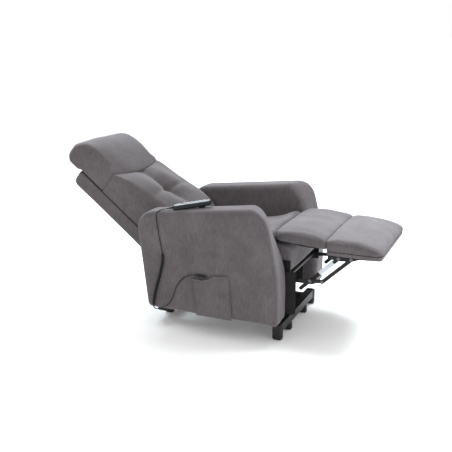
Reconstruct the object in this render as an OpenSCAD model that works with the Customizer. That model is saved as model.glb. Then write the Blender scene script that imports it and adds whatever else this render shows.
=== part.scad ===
// Power lift recliner armchair, reclined with the leg rest out.
// Millimetres. X is across the chair, -Y is forwards, +Z is up, the floor is z = 0.
// Side outlines are lists of [y, z] points; paired pieces are drawn for +X and mirrored.

/* [Overall] */
// Width over the two arms
chair_w = 734; // [690:2:900]
// Width of one arm
arm_w = 130; // [100:1:150]
// Height of the arms' lower edge above the floor
arm_clear = 104; // [100:1:120]
// Height of the arm top at its front
arm_top = 642; // [620:1:680]
// Fall of the arm top from front to back
arm_fall = 59; // [30:1:80]
// Thickness of the arm's top pad
arm_pad_h = 55; // [40:1:65]

/* [Base] */
// Side of the square base tubes
tube_side = 40; // [30:1:42]
// Wall of the square base tubes
tube_wall = 2; // [1.5:0.1:3]
// Underside of the base tubes above the floor
tube_z = 40; // [38:1:42]
// Half length of the front tube
front_tube_half = 258; // [240:1:280]
// Half length of the rear tube
rear_tube_half = 222; // [215:1:250]
// Length of a foot along its tube
foot_w = 32; // [24:1:40]

/* [Links] */
// Width of the leg rest links
bar_w = 18; // [16:1:20]
// Width of the lift links
link_w = 24; // [22:1:28]
// Thickness of links and plates
bar_t = 4; // [3:0.5:4]
// Radius of the pivot pins
pin_r = 5; // [4:0.5:5.5]
// Running clearance of a pin in its hole, on the radius
pin_fit = 0.08; // [0.02:0.01:0.1]
// Gap between faces that slide past each other
slide_gap = 0.3; // [0.2:0.1:0.5]

/* [Actuator] */
// Radius of the actuator's outer tube
ram_tube_r = 16; // [14:1:20]
// Radius of the rod
ram_rod_r = 9; // [7:1:11]
// Clearance of the rod end's eye around the crank pin, on the radius
ram_eye_play = 9; // [8:0.5:10]

/* [Upholstery] */
// Half width of the backrest and its cushions
back_half = 225; // [200:1:226]
// Half width of the leg rest pads in front of the arms
leg_half = 250; // [236:1:262]
// Length of the back shell
back_len = 657; // [600:1:700]
// Thickness of the back shell
shell_t = 80; // [60:1:90]
// Angle of the backrest above level at rest
back_angle = 38.6; // [30:0.1:45]
// Thickness of the leg rest board
board_t = 18; // [14:1:19]
// Gap kept round soft parts that move past each other
soft_gap = 3; // [2:0.5:4]

/* [Handset] */
// Length of the handset
handset_l = 188; // [170:1:200]
// Width of the handset
handset_w = 50; // [44:1:56]
// Thickness of the handset
handset_t = 22; // [18:1:26]
// Diameter of the plain lead
lead_d = 4.4; // [4:0.1:5]
// Outer diameter of the curly lead
curl_d = 15; // [12:0.5:16]
// Travel of a button
button_travel = 1.5; // [1:0.1:2]

/* [Hidden] */
$fn = 48;

// Colours
steel = [0.08, 0.08, 0.085];
zinc = [0.72, 0.72, 0.74];
fabric = [0.45, 0.43, 0.44];
plastic = [0.05, 0.05, 0.06];
key_grey = [0.85, 0.85, 0.86];

// Pivots, as [y, z]
lift_rear_base = [-170, 92];
lift_rear_seat = [150, 120];
lift_front_base = [-221, 81];
lift_front_seat = [6, 101];
back_hinge = [170, 400];
leg_hinge = [-353, 289];
carrier_cross = [-475, 299];
carrier_end = [-535, 304];
support_top = [-605, 422];
drive_top = support_top + carrier_end - carrier_cross;
support_tail = [-430, 256];
ram_base = [187, 68];
crank_end = [-141, 149];
crank_root = [-178, 141];

// Layers across the chair, each the inner face of a piece
arm_inner = chair_w / 2 - arm_w;
plate_x = arm_inner - 8;
drive_x = plate_x - 7;
carrier_x = drive_x - 7;
support_x = carrier_x - 7;
lift_front_x = plate_x - 18;
lift_rear_x = lift_front_x - 8;
bracket_x = lift_rear_x - 8;
rail_w = 30;
rail_x = bracket_x - rail_w;
hinge_plate_x = plate_x - 14;
seat_half = plate_x - soft_gap;
head_t = 2.5;

// Base places
front_tube_y = -357;
rear_tube_y = 270;
foot_over = 4;
middle_foot_x = 120;

// Arms
arm_front_y = -371;
arm_rear_y = 348;
arm_crest_y = -260;
arm_slope = atan(arm_fall / 550);
pad_end_y = 345;
pad_nose_y = -300;
pad_round = 30;
function arm_top_at(y) = arm_top - (y - arm_crest_y) * tan(arm_slope);

// Leg rest
foot_near_y = -555;
foot_far_y = -806;
board_z = 441;
pad_near_half = arm_inner - 10;

// Handset: its middle on the arm's crest, long side along the arm
handset_x = 66 - chair_w / 2;
handset_y = 79;
handset_lift = 1;
handset_tilt = 4.5;
handset_turn = 14;
button_r = 5.5;
button_pitch = 19;
button_count = 6;
button_proud = 2.5;
button_well = 6;

// Lead routes, [x, y, z]: over the arm's edge and down, along the side, up to the pocket
upper_route = [[-330, 195.4, 602.7], [-333, 207, 600], [-338, 219, 597], [-345, 229, 593.5],
    [-353, 235, 588.5], [-364, 238, 579], [-371, 235, 558], [-374, 230, 530],
    [-374, 224, 490], [-374, 217, 450], [-374, 211, 420], [-374, 206, 395]];
curl_route = [[-376, 205, 392], [-376, 205, 360], [-376, 212, 320], [-376, 223, 280],
    [-376, 235, 240], [-376, 246, 200], [-376, 256, 160], [-376, 261, 122]];
lower_route = [[-374, 261, 119], [-374, 257, 111], [-374, 245, 107], [-374, 225, 112],
    [-374, 200, 124], [-374, 178, 142], [-374, 162, 165], [-374, 150, 195], [-374, 139, 225],
    [-374, 126, 250], [-374, 108, 272], [-374, 90, 288], [-375, 70, 300], [-376, 50, 306],
    [-377, 34, 307]];

module pair() {
    children();
    mirror([1, 0, 0]) children();
}

// A [y, z] outline made a plate from x to x + t
module plate(x, t) {
    translate([x, 0, 0]) rotate([90, 0, 90]) linear_extrude(t) children();
}

module disc(p, r) {
    translate(p) circle(r);
}

// Points of an arc round c, from angle a to angle b
function arc(c, r, a, b, n) = [for (k = [0:n]) c + r * [cos(a + (b - a) * k / n), sin(a + (b - a) * k / n)]];

// A straight bar with round ends, as an outline
module bar_shape(p, q, w) {
    dir = atan2(q[1] - p[1], q[0] - p[0]);
    polygon(concat(arc(q, w / 2, dir - 90, dir + 90, 10), arc(p, w / 2, dir + 90, dir + 270, 10)));
}

// A rod along X at pivot p, from x0 to x1
module rod_x(p, r, x0, x1) {
    translate([x0, p[0], p[1]]) rotate([0, 90, 0]) cylinder(r = r, h = x1 - x0);
}

// A pivot pin through two layers: a head outside each, and a collar between them
module pivot_pin(p, inner_x, outer_x, collar = true) {
    rod_x(p, pin_r, inner_x - head_t, outer_x + bar_t + head_t);
    rod_x(p, pin_r + 3, inner_x - slide_gap - head_t, inner_x - slide_gap);
    rod_x(p, pin_r + 3, outer_x + bar_t, outer_x + bar_t + head_t);
    if (collar) rod_x(p, pin_r + 3, inner_x + bar_t + slide_gap, outer_x);
}

// A square tube along X
module square_tube(half, y) {
    difference() {
        translate([-half, y, tube_z]) cube([2 * half, tube_side, tube_side]);
        translate([-half - 1, y + tube_wall, tube_z + tube_wall])
            cube([2 * half + 2, tube_side - 2 * tube_wall, tube_side - 2 * tube_wall]);
    }
}

module base_front_tube() {
    color(steel) square_tube(front_tube_half, front_tube_y);
}

module base_rear_tube() {
    color(steel) square_tube(rear_tube_half, rear_tube_y);
}

module base_side_rails() {
    rail_y = front_tube_y + tube_side;
    rail_l = rear_tube_y - rail_y;
    color(steel) pair() difference() {
        translate([rail_x, rail_y, tube_z]) cube([rail_w, rail_l, tube_side]);
        translate([rail_x + tube_wall, rail_y - 1, tube_z + tube_wall])
            cube([rail_w - 2 * tube_wall, rail_l + 2, tube_side - 2 * tube_wall]);
    }
}

// A foot that caps a tube's end: a block on the floor with a plug in the tube
module end_foot(half, y) {
    plug = tube_side - 2 * tube_wall - 1;
    translate([half, y - foot_over, 0])
        cube([foot_w / 2, tube_side + 2 * foot_over, tube_z + tube_side + 2]);
    translate([half - foot_w / 2, y - foot_over, 0])
        cube([foot_w / 2, tube_side + 2 * foot_over, tube_z]);
    translate([half - 20, y + tube_wall + 0.5, tube_z + tube_wall + 0.5]) cube([20, plug, plug]);
}

// The rear tube's end cap, and the rear foot under the tube nearer the middle
rear_foot_x = 150;

module rear_foot() {
    translate([rear_tube_half, rear_tube_y - foot_over, tube_z - 2])
        cube([foot_w / 2, tube_side + 2 * foot_over, tube_side + 4]);
    translate([rear_foot_x - foot_w / 2, rear_tube_y - foot_over, 0])
        cube([foot_w, tube_side + 2 * foot_over, tube_z]);
}

module base_end_feet() {
    color(plastic) pair() {
        end_foot(front_tube_half, front_tube_y);
        rear_foot();
    }
}

module base_middle_feet() {
    color(plastic) pair() translate([middle_foot_x - foot_w / 2, front_tube_y - foot_over, 0])
        cube([foot_w, tube_side + foot_over, tube_z]);
}

// Upright plates on the rails that carry the four lift links
module lift_brackets() {
    low = tube_z + 5;
    color(steel) pair() plate(bracket_x, bar_t) difference() {
        union() {
            polygon([[lift_front_base[0] - 30, low], [lift_rear_base[0] + 30, low],
                lift_rear_base + [14, 0], lift_rear_base - [14, 0],
                lift_front_base + [0, 14], lift_front_base - [14, 0]]);
            disc(lift_rear_base, 14);
            disc(lift_front_base, 14);
        }
        disc(lift_rear_base, pin_r + pin_fit);
        disc(lift_front_base, pin_r + pin_fit);
    }
}

// A stub pin: flush with the bracket's inner face, a collar outside it, a link and the head
module stub_pin(p, link_x) {
    rod_x(p, pin_r, bracket_x, link_x + bar_t + slide_gap + head_t);
    rod_x(p, pin_r + 3, bracket_x + bar_t, link_x - slide_gap);
    rod_x(p, pin_r + 3, link_x + bar_t + slide_gap, link_x + bar_t + slide_gap + head_t);
}

module lift_bracket_pins() {
    color(zinc) pair() {
        stub_pin(lift_rear_base, lift_rear_x);
        stub_pin(lift_front_base, lift_front_x);
    }
}

module actuator_bracket() {
    ear_x = ram_tube_r + 4;
    color(steel) {
        pair() plate(ear_x, bar_t) difference() {
            union() {
                disc(ram_base, 14);
                polygon([ram_base + [0, 14], ram_base - [0, 14], [rear_tube_y, tube_z + 4],
                    [rear_tube_y, tube_z + tube_side]]);
            }
            disc(ram_base, pin_r + pin_fit);
        }
    }
    color(zinc) {
        rod_x(ram_base, pin_r, -ear_x - bar_t - head_t, ear_x + bar_t + head_t);
        pair() rod_x(ram_base, pin_r + 3, ear_x + bar_t, ear_x + bar_t + head_t);
    }
}

supply_x = 70;
supply_size = [88, 120, 36];
inlet_size = [27, 16, 20];

module power_supply() {
    color(plastic) translate([supply_x, rear_tube_y - supply_size[1], tube_z + 2]) difference() {
        cube(supply_size);
        translate([30, -1, 6]) cube([inlet_size[0] + 1, inlet_size[1] + 1.5, inlet_size[2] + 1]);
    }
}

// The mains socket in the supply's front end, with three flat prongs
module mains_inlet() {
    y = rear_tube_y - supply_size[1];
    color(plastic) translate([supply_x + 30.5, y + 0.5, tube_z + 8.5]) {
        difference() {
            cube(inlet_size);
            translate([3, -1, 3]) cube([inlet_size[0] - 6, 13, inlet_size[2] - 6]);
        }
    }
    color(zinc) for (k = [-1, 0, 1])
        translate([supply_x + 30.5 + inlet_size[0] / 2 + 7 * k - 1, y + 4, tube_z + 16.5])
            cube([2, 10, 4]);
}

// Each rear link is a bell crank: one leg reaches the seat and a short one the torsion tube
module lift_arm_links() {
    color(steel) pair() plate(lift_rear_x, bar_t) difference() {
        union() {
            bar_shape(lift_rear_base, lift_rear_seat, link_w);
            bar_shape(lift_rear_base, crank_root, link_w + 4);
        }
        disc(lift_rear_base, pin_r + pin_fit);
        disc(lift_rear_seat, pin_r + pin_fit);
    }
}

// The tube that joins the two bell cranks, with a fork that the rod pushes
module lift_torsion_tube() {
    color(steel) {
        difference() {
            rod_x(crank_root, 13, -lift_rear_x, lift_rear_x);
            rod_x(crank_root, 11, -lift_rear_x - 1, lift_rear_x + 1);
        }
        pair() plate(ram_rod_r + 3, bar_t) difference() {
            bar_shape(crank_root, crank_end, 30);
            disc(crank_root, 11);
            disc(crank_end, pin_r + pin_fit);
        }
    }
    color(zinc) {
        rod_x(crank_end, pin_r, -ram_rod_r - 9, ram_rod_r + 9);
        pair() rod_x(crank_end, pin_r + 3, ram_rod_r + 7, ram_rod_r + 9);
    }
}

lift_front_play = 2;

module lift_front_links() {
    color(steel) pair() plate(lift_front_x, bar_t) difference() {
        bar_shape(lift_front_base, lift_front_seat, link_w);
        disc(lift_front_base, pin_r + pin_fit);
        disc(lift_front_seat, pin_r + lift_front_play);
    }
}

// The actuator's own line: local +X runs from its base pivot to the crank pin
ram_run = crank_end - ram_base;
ram_dir = atan2(ram_run[1], ram_run[0]);
ram_len = norm(ram_run);
ram_tube_start = 70;
ram_tube_end = 215;

module on_ram() {
    translate([0, ram_base[0], ram_base[1]]) rotate([ram_dir, 0, 0]) children();
}

// A cylinder along the actuator's line
module ram_rod(r, from, to) {
    translate([0, from, 0]) rotate([-90, 0, 0]) cylinder(r = r, h = to - from);
}

module lift_motor() {
    eye_half = ram_tube_r + 4 - slide_gap;
    color(plastic) on_ram() {
        difference() {
            union() {
                translate([-eye_half, -11, -11]) cube([2 * eye_half, 40, 22]);
                translate([-22, 26, -22]) cube([44, 44, 44]);
                translate([22, 48, 0]) rotate([0, 90, 0]) cylinder(r = 20, h = 24);
            }
            rotate([0, 90, 0]) translate([0, 0, -eye_half - 1])
                cylinder(r = pin_r + pin_fit, h = 2 * eye_half + 2);
        }
    }
}

module lift_outer_tube() {
    color(zinc) on_ram() difference() {
        ram_rod(ram_tube_r, ram_tube_start, ram_tube_end);
        ram_rod(ram_rod_r + pin_fit, ram_tube_start + 8, ram_tube_end + 1);
    }
}

module lift_rod() {
    eye_r = pin_r + ram_eye_play;
    eye_half = ram_rod_r + 1.5;
    color(zinc) on_ram() difference() {
        union() {
            ram_rod(ram_rod_r, ram_tube_start + 14, ram_len - eye_r - 2);
            translate([-eye_half, ram_len, 0]) rotate([0, 90, 0])
                cylinder(r = eye_r + 5, h = 2 * eye_half);
        }
        translate([-eye_half - 1, ram_len, 0]) rotate([0, 90, 0])
            cylinder(r = eye_r, h = 2 * eye_half + 2);
    }
}

cross_z = 300;
cross_h = 26;
front_cross_y = -300;
rear_cross_y = 110;

module seat_side_plates() {
    deck_z = cross_z + cross_h + 6;
    color(steel) pair() plate(plate_x, bar_t - 1) difference() {
        union() {
            polygon([[-385, 264], [-325, 262], [-250, 215], [-20, 196],
                lift_front_seat - [13, 0], lift_front_seat + [13, 0], [36, 190], [124, 190],
                lift_rear_seat - [15, 0], lift_rear_seat + [15, 0], [192, 250],
                back_hinge + [20, -4], back_hinge - [20, 0], [124, deck_z], [-318, deck_z],
                [-326, 388], [-385, 388]]);
            disc(lift_front_seat, 13);
            disc(lift_rear_seat, 15);
            disc(back_hinge, 20);
        }
        for (p = [lift_front_seat, lift_rear_seat, back_hinge, leg_hinge]) disc(p, pin_r + pin_fit);
    }
}

module seat_cross_tubes() {
    wall = 2;
    color(steel) for (y = [front_cross_y, rear_cross_y]) difference() {
        translate([-plate_x, y, cross_z]) cube([2 * plate_x, cross_h, cross_h]);
        translate([-plate_x - 1, y + wall, cross_z + wall])
            cube([2 * plate_x + 2, cross_h - 2 * wall, cross_h - 2 * wall]);
    }
}

// Pins fixed in the side plates that reach inwards to a moving link
module seat_pin(p, link_x) {
    rod_x(p, pin_r, link_x - slide_gap - head_t, plate_x + bar_t + 1.5);
    rod_x(p, pin_r + 3, link_x - slide_gap - head_t, link_x - slide_gap);
    rod_x(p, pin_r + 3, link_x + bar_t + slide_gap, plate_x);
    rod_x(p, pin_r + 3, plate_x + bar_t - 1, plate_x + bar_t + 1.5);
}

module seat_pins() {
    color(zinc) pair() {
        seat_pin(lift_rear_seat, lift_rear_x);
        seat_pin(lift_front_seat, lift_front_x);
        seat_pin(back_hinge, hinge_plate_x);
        seat_pin(leg_hinge, carrier_x);
    }
}

web_count = 5;
web_pitch = 80;
web_w = 50;
web_t = 3;

// Elastic webbing straps from the front cross tube to the rear one
module seat_webbing() {
    color(plastic) for (k = [0:web_count - 1])
        translate([(k - (web_count - 1) / 2) * web_pitch - web_w / 2, front_cross_y, cross_z + cross_h])
            cube([web_w, rear_cross_y + cross_h - front_cross_y, web_t]);
}

module seat_cushion() {
    low = cross_z + cross_h + 3.5;
    color(fabric) plate(-seat_half, 2 * seat_half)
        polygon([[-298, low], [-298, 518], [-250, 508], [-200, 488], [-150, 476], [-60, 462],
            [120, 452], [122, low]]);
}

module seat_front_rail() {
    color(fabric) plate(-plate_x, 2 * plate_x)
        polygon([[-301.5, 346], [-301.5, 462], [-360, 460], [-377, 440], [-383, 405], [-376, 366],
            [-350, 340], [-320, 338]]);
}

module arm_brackets() {
    color(steel) pair() for (y = [-260, 60])
        translate([plate_x + bar_t - 1, y, 240]) cube([arm_inner - plate_x - bar_t + 1, 60, 60]);
}

// The arm below its top pad, as a side outline. The pad sits on it with a hair's gap
pad_seam = 0.1;

module arm_outline() {
    pad_drop = arm_pad_h / cos(arm_slope) + pad_seam;
    rear_z = arm_top_at(arm_rear_y) - pad_drop;
    front_z = arm_top_at(-322) - pad_drop;
    polygon([[301, arm_clear], [326, 310], [345, 470], [arm_rear_y, rear_z],
        [-322, front_z], [-338, 494], [-361, 379], [arm_front_y, 272], [arm_front_y, arm_clear]]);
}

module arm() {
    color(fabric) plate(arm_inner, arm_w) arm_outline();
}

module right_arm() {
    mirror([1, 0, 0]) arm();
}

module left_arm() {
    arm();
}

// The pad in its own lines: y along the slope, z up from the pad's underside
module pad_outline() {
    r = arm_pad_h - 15;
    polygon(concat([[pad_nose_y, 0], [pad_end_y, 0]],
        arc([pad_end_y - r, arm_pad_h - r], r, 0, 90, 6),
        arc([pad_nose_y + r, arm_pad_h - r], r, 90, 180, 6)));
}

// The pad's cross-section, with round shoulders
module pad_section() {
    out = arm_inner + arm_w;
    polygon(concat([[arm_inner, 0], [out, 0]],
        arc([out - pad_round, arm_pad_h - pad_round], pad_round, 0, 90, 6),
        arc([arm_inner + pad_round, arm_pad_h - pad_round], pad_round, 90, 180, 6)));
}

module arm_pad() {
    color(fabric) translate([0, 0, arm_top_at(0)]) rotate([-arm_slope, 0, 0])
        translate([0, 0, -arm_pad_h]) intersection() {
            plate(arm_inner, arm_w) pad_outline();
            translate([0, 400, 0]) rotate([90, 0, 0]) linear_extrude(800) pad_section();
        }
}

module right_arm_pad() {
    mirror([1, 0, 0]) arm_pad();
}

module left_arm_pad() {
    arm_pad();
}

// The flat pocket on the right arm's outer side, open at the top
pocket_t = 10;
pocket_wall = 2.5;

module side_pocket() {
    outer_x = -chair_w / 2 - pocket_t;
    color(fabric) difference() {
        translate([outer_x, 0, 0]) rotate([90, 0, 90]) linear_extrude(pocket_t)
            polygon([[58, 286], [34, 289], [-8, 291], [-34, 300], [-60, 318], [-136, 326],
                [-152, 108], [28, 108], [44, 200]]);
        translate([outer_x + pocket_wall, 0, 0]) rotate([90, 0, 90])
            linear_extrude(pocket_t - 2 * pocket_wall)
                polygon([[50, 330], [-128, 330], [-142, 112], [22, 112], [37, 200]]);
    }
}

// The handset's own frame: local +Y runs back along the arm, +Z is its face
module on_handset() {
    raise = handset_lift + handset_l / 2 * sin(handset_tilt);
    translate([handset_x, handset_y, arm_top_at(handset_y) + raise])
        rotate([-arm_slope - handset_tilt, 0, handset_turn]) children();
}

function button_y(k) = (k - (button_count - 1) / 2) * button_pitch - 12;

module handset_shell() {
    end_r = handset_w / 2;
    half = handset_l / 2 - end_r;
    color(plastic) on_handset() difference() {
        union() {
            linear_extrude(handset_t) union() {
                for (s = [-1, 1]) translate([0, s * half]) circle(end_r);
                translate([-end_r, -half]) square([2 * end_r, 2 * half]);
            }
            // The hanging hook on its back, which props the front end up
            translate([-9, -60, -8]) cube([18, 30, 9]);
        }
        for (k = [0:button_count - 1]) translate([0, button_y(k), handset_t - button_well])
            cylinder(r = button_r + 0.3, h = button_well + 1);
    }
}

module button(k) {
    color(key_grey) on_handset()
        translate([0, button_y(k), handset_t - button_well + button_travel + 0.4])
            cylinder(r = button_r, h = button_well + button_proud - button_travel - 0.4);
}

relief_l = 26;

module handset_strain_relief() {
    color(plastic) on_handset() translate([0, handset_l / 2, handset_t / 2]) rotate([-90, 0, 0])
        cylinder(r1 = 6, r2 = 3.4, h = relief_l);
}

// A round tube swept along route points
module sweep(route, r, sides) {
    last = len(route) - 1;
    function way(k) = let (a = route[max(k - 1, 0)], b = route[min(k + 1, last)]) (b - a) / norm(b - a);
    function across(t) = let (c = cross(t, [0.31, 0.42, 0.11])) c / norm(c);
    rings = [for (k = [0:last]) let (t = way(k), u = across(t), v = cross(t, u))
        for (s = [0:sides - 1]) route[k] + r * (cos(360 * s / sides) * u + sin(360 * s / sides) * v)];
    walls = [for (k = [0:last - 1]) for (s = [0:sides - 1]) let (n = (s + 1) % sides)
        [k * sides + s, k * sides + n, (k + 1) * sides + n, (k + 1) * sides + s]];
    caps = [[for (s = [sides - 1:-1:0]) s], [for (s = [0:sides - 1]) last * sides + s]];
    polyhedron(points = rings, faces = concat(walls, caps));
}

// Points between a route's own points, on a smooth curve
function smooth(p, n) = [for (k = [0:len(p) - 2]) for (s = [0:n - 1])
    let (a = p[max(k - 1, 0)], b = p[k], c = p[k + 1], d = p[min(k + 2, len(p) - 1)], t = s / n)
        0.5 * (2 * b + (c - a) * t + (2 * a - 5 * b + 4 * c - d) * t * t
            + (3 * b - a - 3 * c + d) * t * t * t), p[len(p) - 1]];

// Puts the lead where the arm's outer side is, for chairs of another width
module beside_arm() {
    translate([367 - chair_w / 2, 0, 0]) children();
}

module handset_lead() {
    color(plastic) beside_arm() sweep(smooth(upper_route, 2), lead_d / 2, 8);
}

module handset_curly_lead() {
    color(plastic) beside_arm() sweep(smooth(curl_route, 2), curl_d / 2, 12);
}

module handset_lower_lead() {
    color(plastic) beside_arm() sweep(smooth(lower_route, 2), lead_d / 2, 8);
}

// The in-line connector, lying along the arm just above the pocket
connector_y = 34;
connector_l = 58;

module handset_connector() {
    color(plastic) beside_arm() translate([-377, connector_y, 307]) rotate([90, 0, 0]) {
        cylinder(r = 5, h = 14);
        translate([0, 0, 14]) cylinder(r = 7, h = connector_l - 28);
        translate([0, 0, connector_l - 14]) cylinder(r = 5, h = 14);
    }
}

// Backrest pieces are drawn in its own lines, [u, v]: u runs up the back and v out of its face
module back_plate(x, t) {
    plate(x, t) translate(back_hinge) rotate(back_angle) children();
}

frame_v = [-113, -88];
frame_out = hinge_plate_x;

module back_hinge_plates() {
    color(steel) pair() back_plate(hinge_plate_x, bar_t) difference() {
        union() {
            circle(18);
            polygon([[-18, 0], [18, 0], [36, frame_v[1]], [110, frame_v[1]], [110, frame_v[0]],
                [0, frame_v[0]], [-14, -60]]);
        }
        circle(pin_r + pin_fit);
    }
}

module back_frame() {
    rail = 25;
    color(steel) {
        pair() back_plate(frame_out - rail, rail)
            translate([5, frame_v[0]]) square([back_len - 30, rail]);
        for (u = [20, 300, back_len - 60]) back_plate(-frame_out + rail, 2 * (frame_out - rail))
            translate([u, frame_v[0]]) square([rail, rail]);
    }
}

module back_shell() {
    low = frame_v[0] - shell_t;
    color(fabric) back_plate(-back_half, 2 * back_half)
        polygon([[0, low], [0, frame_v[0]], [back_len, frame_v[0]], [back_len + 6, low + 60],
            [back_len, low + 20], [back_len - 14, low]]);
}

head_seam = 497;

module lumbar_cushion() {
    color(fabric) back_plate(-back_half, 2 * back_half)
        polygon([[46, frame_v[1]], [46, 40], [60, 60], [120, 72], [190, 70], [270, 54],
            [400, 30], [head_seam - 20, 8], [head_seam - 1, -4], [head_seam - 1, frame_v[1]]]);
}

module head_pillow() {
    color(fabric) back_plate(-back_half, 2 * back_half)
        polygon([[head_seam + 1, frame_v[1]], [head_seam + 1, -4], [530, 6], [580, 12], [650, 18],
            [712, 8], [750, -14], [772, -44], [774, -70], [755, -88], [740, frame_v[1] - 6],
            [back_len + 8, frame_v[1] - 6], [back_len + 6, frame_v[1]]]);
}

module leg_carrier_bars() {
    color(steel) pair() plate(carrier_x, bar_t) difference() {
        bar_shape(leg_hinge, carrier_end, bar_w);
        for (p = [leg_hinge, carrier_cross, carrier_end]) disc(p, pin_r + pin_fit);
    }
}

// Joins the two carrier bars on the hinge's own line, so both sides move as one
module leg_torque_tube() {
    inner = carrier_x - slide_gap - head_t;
    color(steel) {
        difference() {
            rod_x(leg_hinge, 9, -inner, inner);
            rod_x(leg_hinge, 7, -inner - 1, inner + 1);
        }
        pair() plate(inner, carrier_x - inner) difference() {
            disc(leg_hinge, 12);
            disc(leg_hinge, pin_r + 3 + slide_gap);
        }
    }
}

// Pins in the carrier bars: the support bars turn inside, the drive bars outside
module leg_carrier_pins() {
    color(zinc) pair() {
        rod_x(carrier_cross, pin_r, support_x - slide_gap - head_t, carrier_x + bar_t + head_t);
        rod_x(carrier_cross, pin_r + 3, support_x - slide_gap - head_t, support_x - slide_gap);
        rod_x(carrier_cross, pin_r + 3, support_x + bar_t + slide_gap, carrier_x);
        rod_x(carrier_cross, pin_r + 3, carrier_x + bar_t, carrier_x + bar_t + head_t);
        rod_x(carrier_end, pin_r, carrier_x - head_t, drive_x + bar_t + slide_gap + head_t);
        rod_x(carrier_end, pin_r + 3, carrier_x - head_t, carrier_x);
        rod_x(carrier_end, pin_r + 3, carrier_x + bar_t, drive_x - slide_gap);
        rod_x(carrier_end, pin_r + 3, drive_x + bar_t + slide_gap,
            drive_x + bar_t + slide_gap + head_t);
    }
}

module leg_drive_bars() {
    color(steel) pair() plate(drive_x, bar_t) difference() {
        bar_shape(carrier_end, drive_top, bar_w);
        disc(carrier_end, pin_r + pin_fit);
        disc(drive_top, pin_r + pin_fit);
    }
}

module leg_support_bars() {
    sleeve_a = carrier_cross + (support_top - carrier_cross) * 0.3;
    sleeve_b = carrier_cross + (support_top - carrier_cross) * 0.72;
    color(steel) pair() plate(support_x, bar_t) difference() {
        bar_shape(support_tail, support_top, bar_w);
        disc(carrier_cross, pin_r + pin_fit);
        disc(support_top, pin_r + pin_fit);
    }
    color(key_grey) pair() plate(support_x - 2, 2) bar_shape(sleeve_a, sleeve_b, bar_w - 4);
}

// Rails under the board: a strip that the board sits on, with an eye for each link
module foot_rails() {
    rail_top = board_z;
    color(steel) pair() plate(carrier_x, bar_t) difference() {
        union() {
            polygon([[foot_near_y, rail_top], [foot_near_y, rail_top - 24],
                support_top + [0, -11], drive_top + [0, -11], [-700, rail_top - 12],
                [-790, rail_top - 8], [-790, rail_top]]);
            disc(support_top, 11);
            disc(drive_top, 11);
        }
        disc(support_top, pin_r + pin_fit);
        disc(drive_top, pin_r + pin_fit);
    }
}

module foot_rail_pins() {
    color(zinc) pair() {
        rod_x(support_top, pin_r, support_x - slide_gap - head_t, carrier_x + bar_t + head_t);
        rod_x(support_top, pin_r + 3, support_x - slide_gap - head_t, support_x - slide_gap);
        rod_x(support_top, pin_r + 3, support_x + bar_t + slide_gap, carrier_x);
        rod_x(support_top, pin_r + 3, carrier_x + bar_t, carrier_x + bar_t + head_t);
        rod_x(drive_top, pin_r, carrier_x - head_t, drive_x + bar_t + slide_gap + head_t);
        rod_x(drive_top, pin_r + 3, carrier_x - head_t, carrier_x);
        rod_x(drive_top, pin_r + 3, carrier_x + bar_t, drive_x - slide_gap);
        rod_x(drive_top, pin_r + 3, drive_x + bar_t + slide_gap, drive_x + bar_t + slide_gap + head_t);
    }
}

module foot_board() {
    color(fabric) translate([-leg_half, foot_far_y, board_z])
        cube([2 * leg_half, foot_near_y - foot_far_y, board_t]);
}

module foot_pad() {
    low = board_z + board_t;
    color(fabric) plate(-leg_half, 2 * leg_half)
        polygon([[foot_near_y, low], [foot_near_y, 514], [-592, 521], [-679, 522], [-759, 510],
            [-793, 493], [-808, 472], [-800, low]]);
}

module calf_pad() {
    shoulder = arm_front_y - soft_gap;
    color(fabric) intersection() {
        plate(-leg_half, 2 * leg_half)
            polygon([[-301.5, 484], [-301.5, 523], [-354, 535], [-432, 538], [-504, 528],
                [foot_near_y + 4, 514], [foot_near_y + 4, 466]]);
        translate([0, 0, 400]) linear_extrude(200)
            polygon([[-pad_near_half, -300], [pad_near_half, -300], [pad_near_half, shoulder],
                [leg_half, shoulder - 14], [leg_half, -600], [-leg_half, -600],
                [-leg_half, shoulder - 14], [-pad_near_half, shoulder]]);
    }
}

base_front_tube();
base_rear_tube();
base_side_rails();
base_end_feet();
base_middle_feet();
lift_brackets();
lift_bracket_pins();
actuator_bracket();
power_supply();
mains_inlet();
lift_arm_links();
lift_torsion_tube();
lift_front_links();
lift_motor();
lift_outer_tube();
lift_rod();
seat_side_plates();
seat_cross_tubes();
seat_pins();
seat_webbing();
seat_cushion();
seat_front_rail();
arm_brackets();
right_arm();
left_arm();
right_arm_pad();
left_arm_pad();
side_pocket();
handset_shell();
handset_strain_relief();
handset_lead();
handset_curly_lead();
handset_lower_lead();
handset_connector();
button(0);  // button_1
button(1);  // button_2
button(2);  // button_3
button(3);  // button_4
button(4);  // button_5
button(5);  // button_6
back_hinge_plates();
back_frame();
back_shell();
lumbar_cushion();
head_pillow();
leg_carrier_bars();
leg_torque_tube();
leg_carrier_pins();
leg_drive_bars();
leg_support_bars();
foot_rails();
foot_rail_pins();
foot_board();
foot_pad();
calf_pad();
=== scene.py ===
# %% [markdown]
# # A power lift recliner, modelled round its own steel frame
# The CAD model holds every size, pivot and hard part. This file dresses it: it upholsters the
# arms, seat, back and leg rest, lays the handset and its lead on the arm, and gives each
# surface a material made from nodes. Nothing here moves a CAD part.

# %% Load the frame
import math
import bpy
from mathutils import Matrix, Vector, noise
from mathutils.bvhtree import BVHTree


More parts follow.
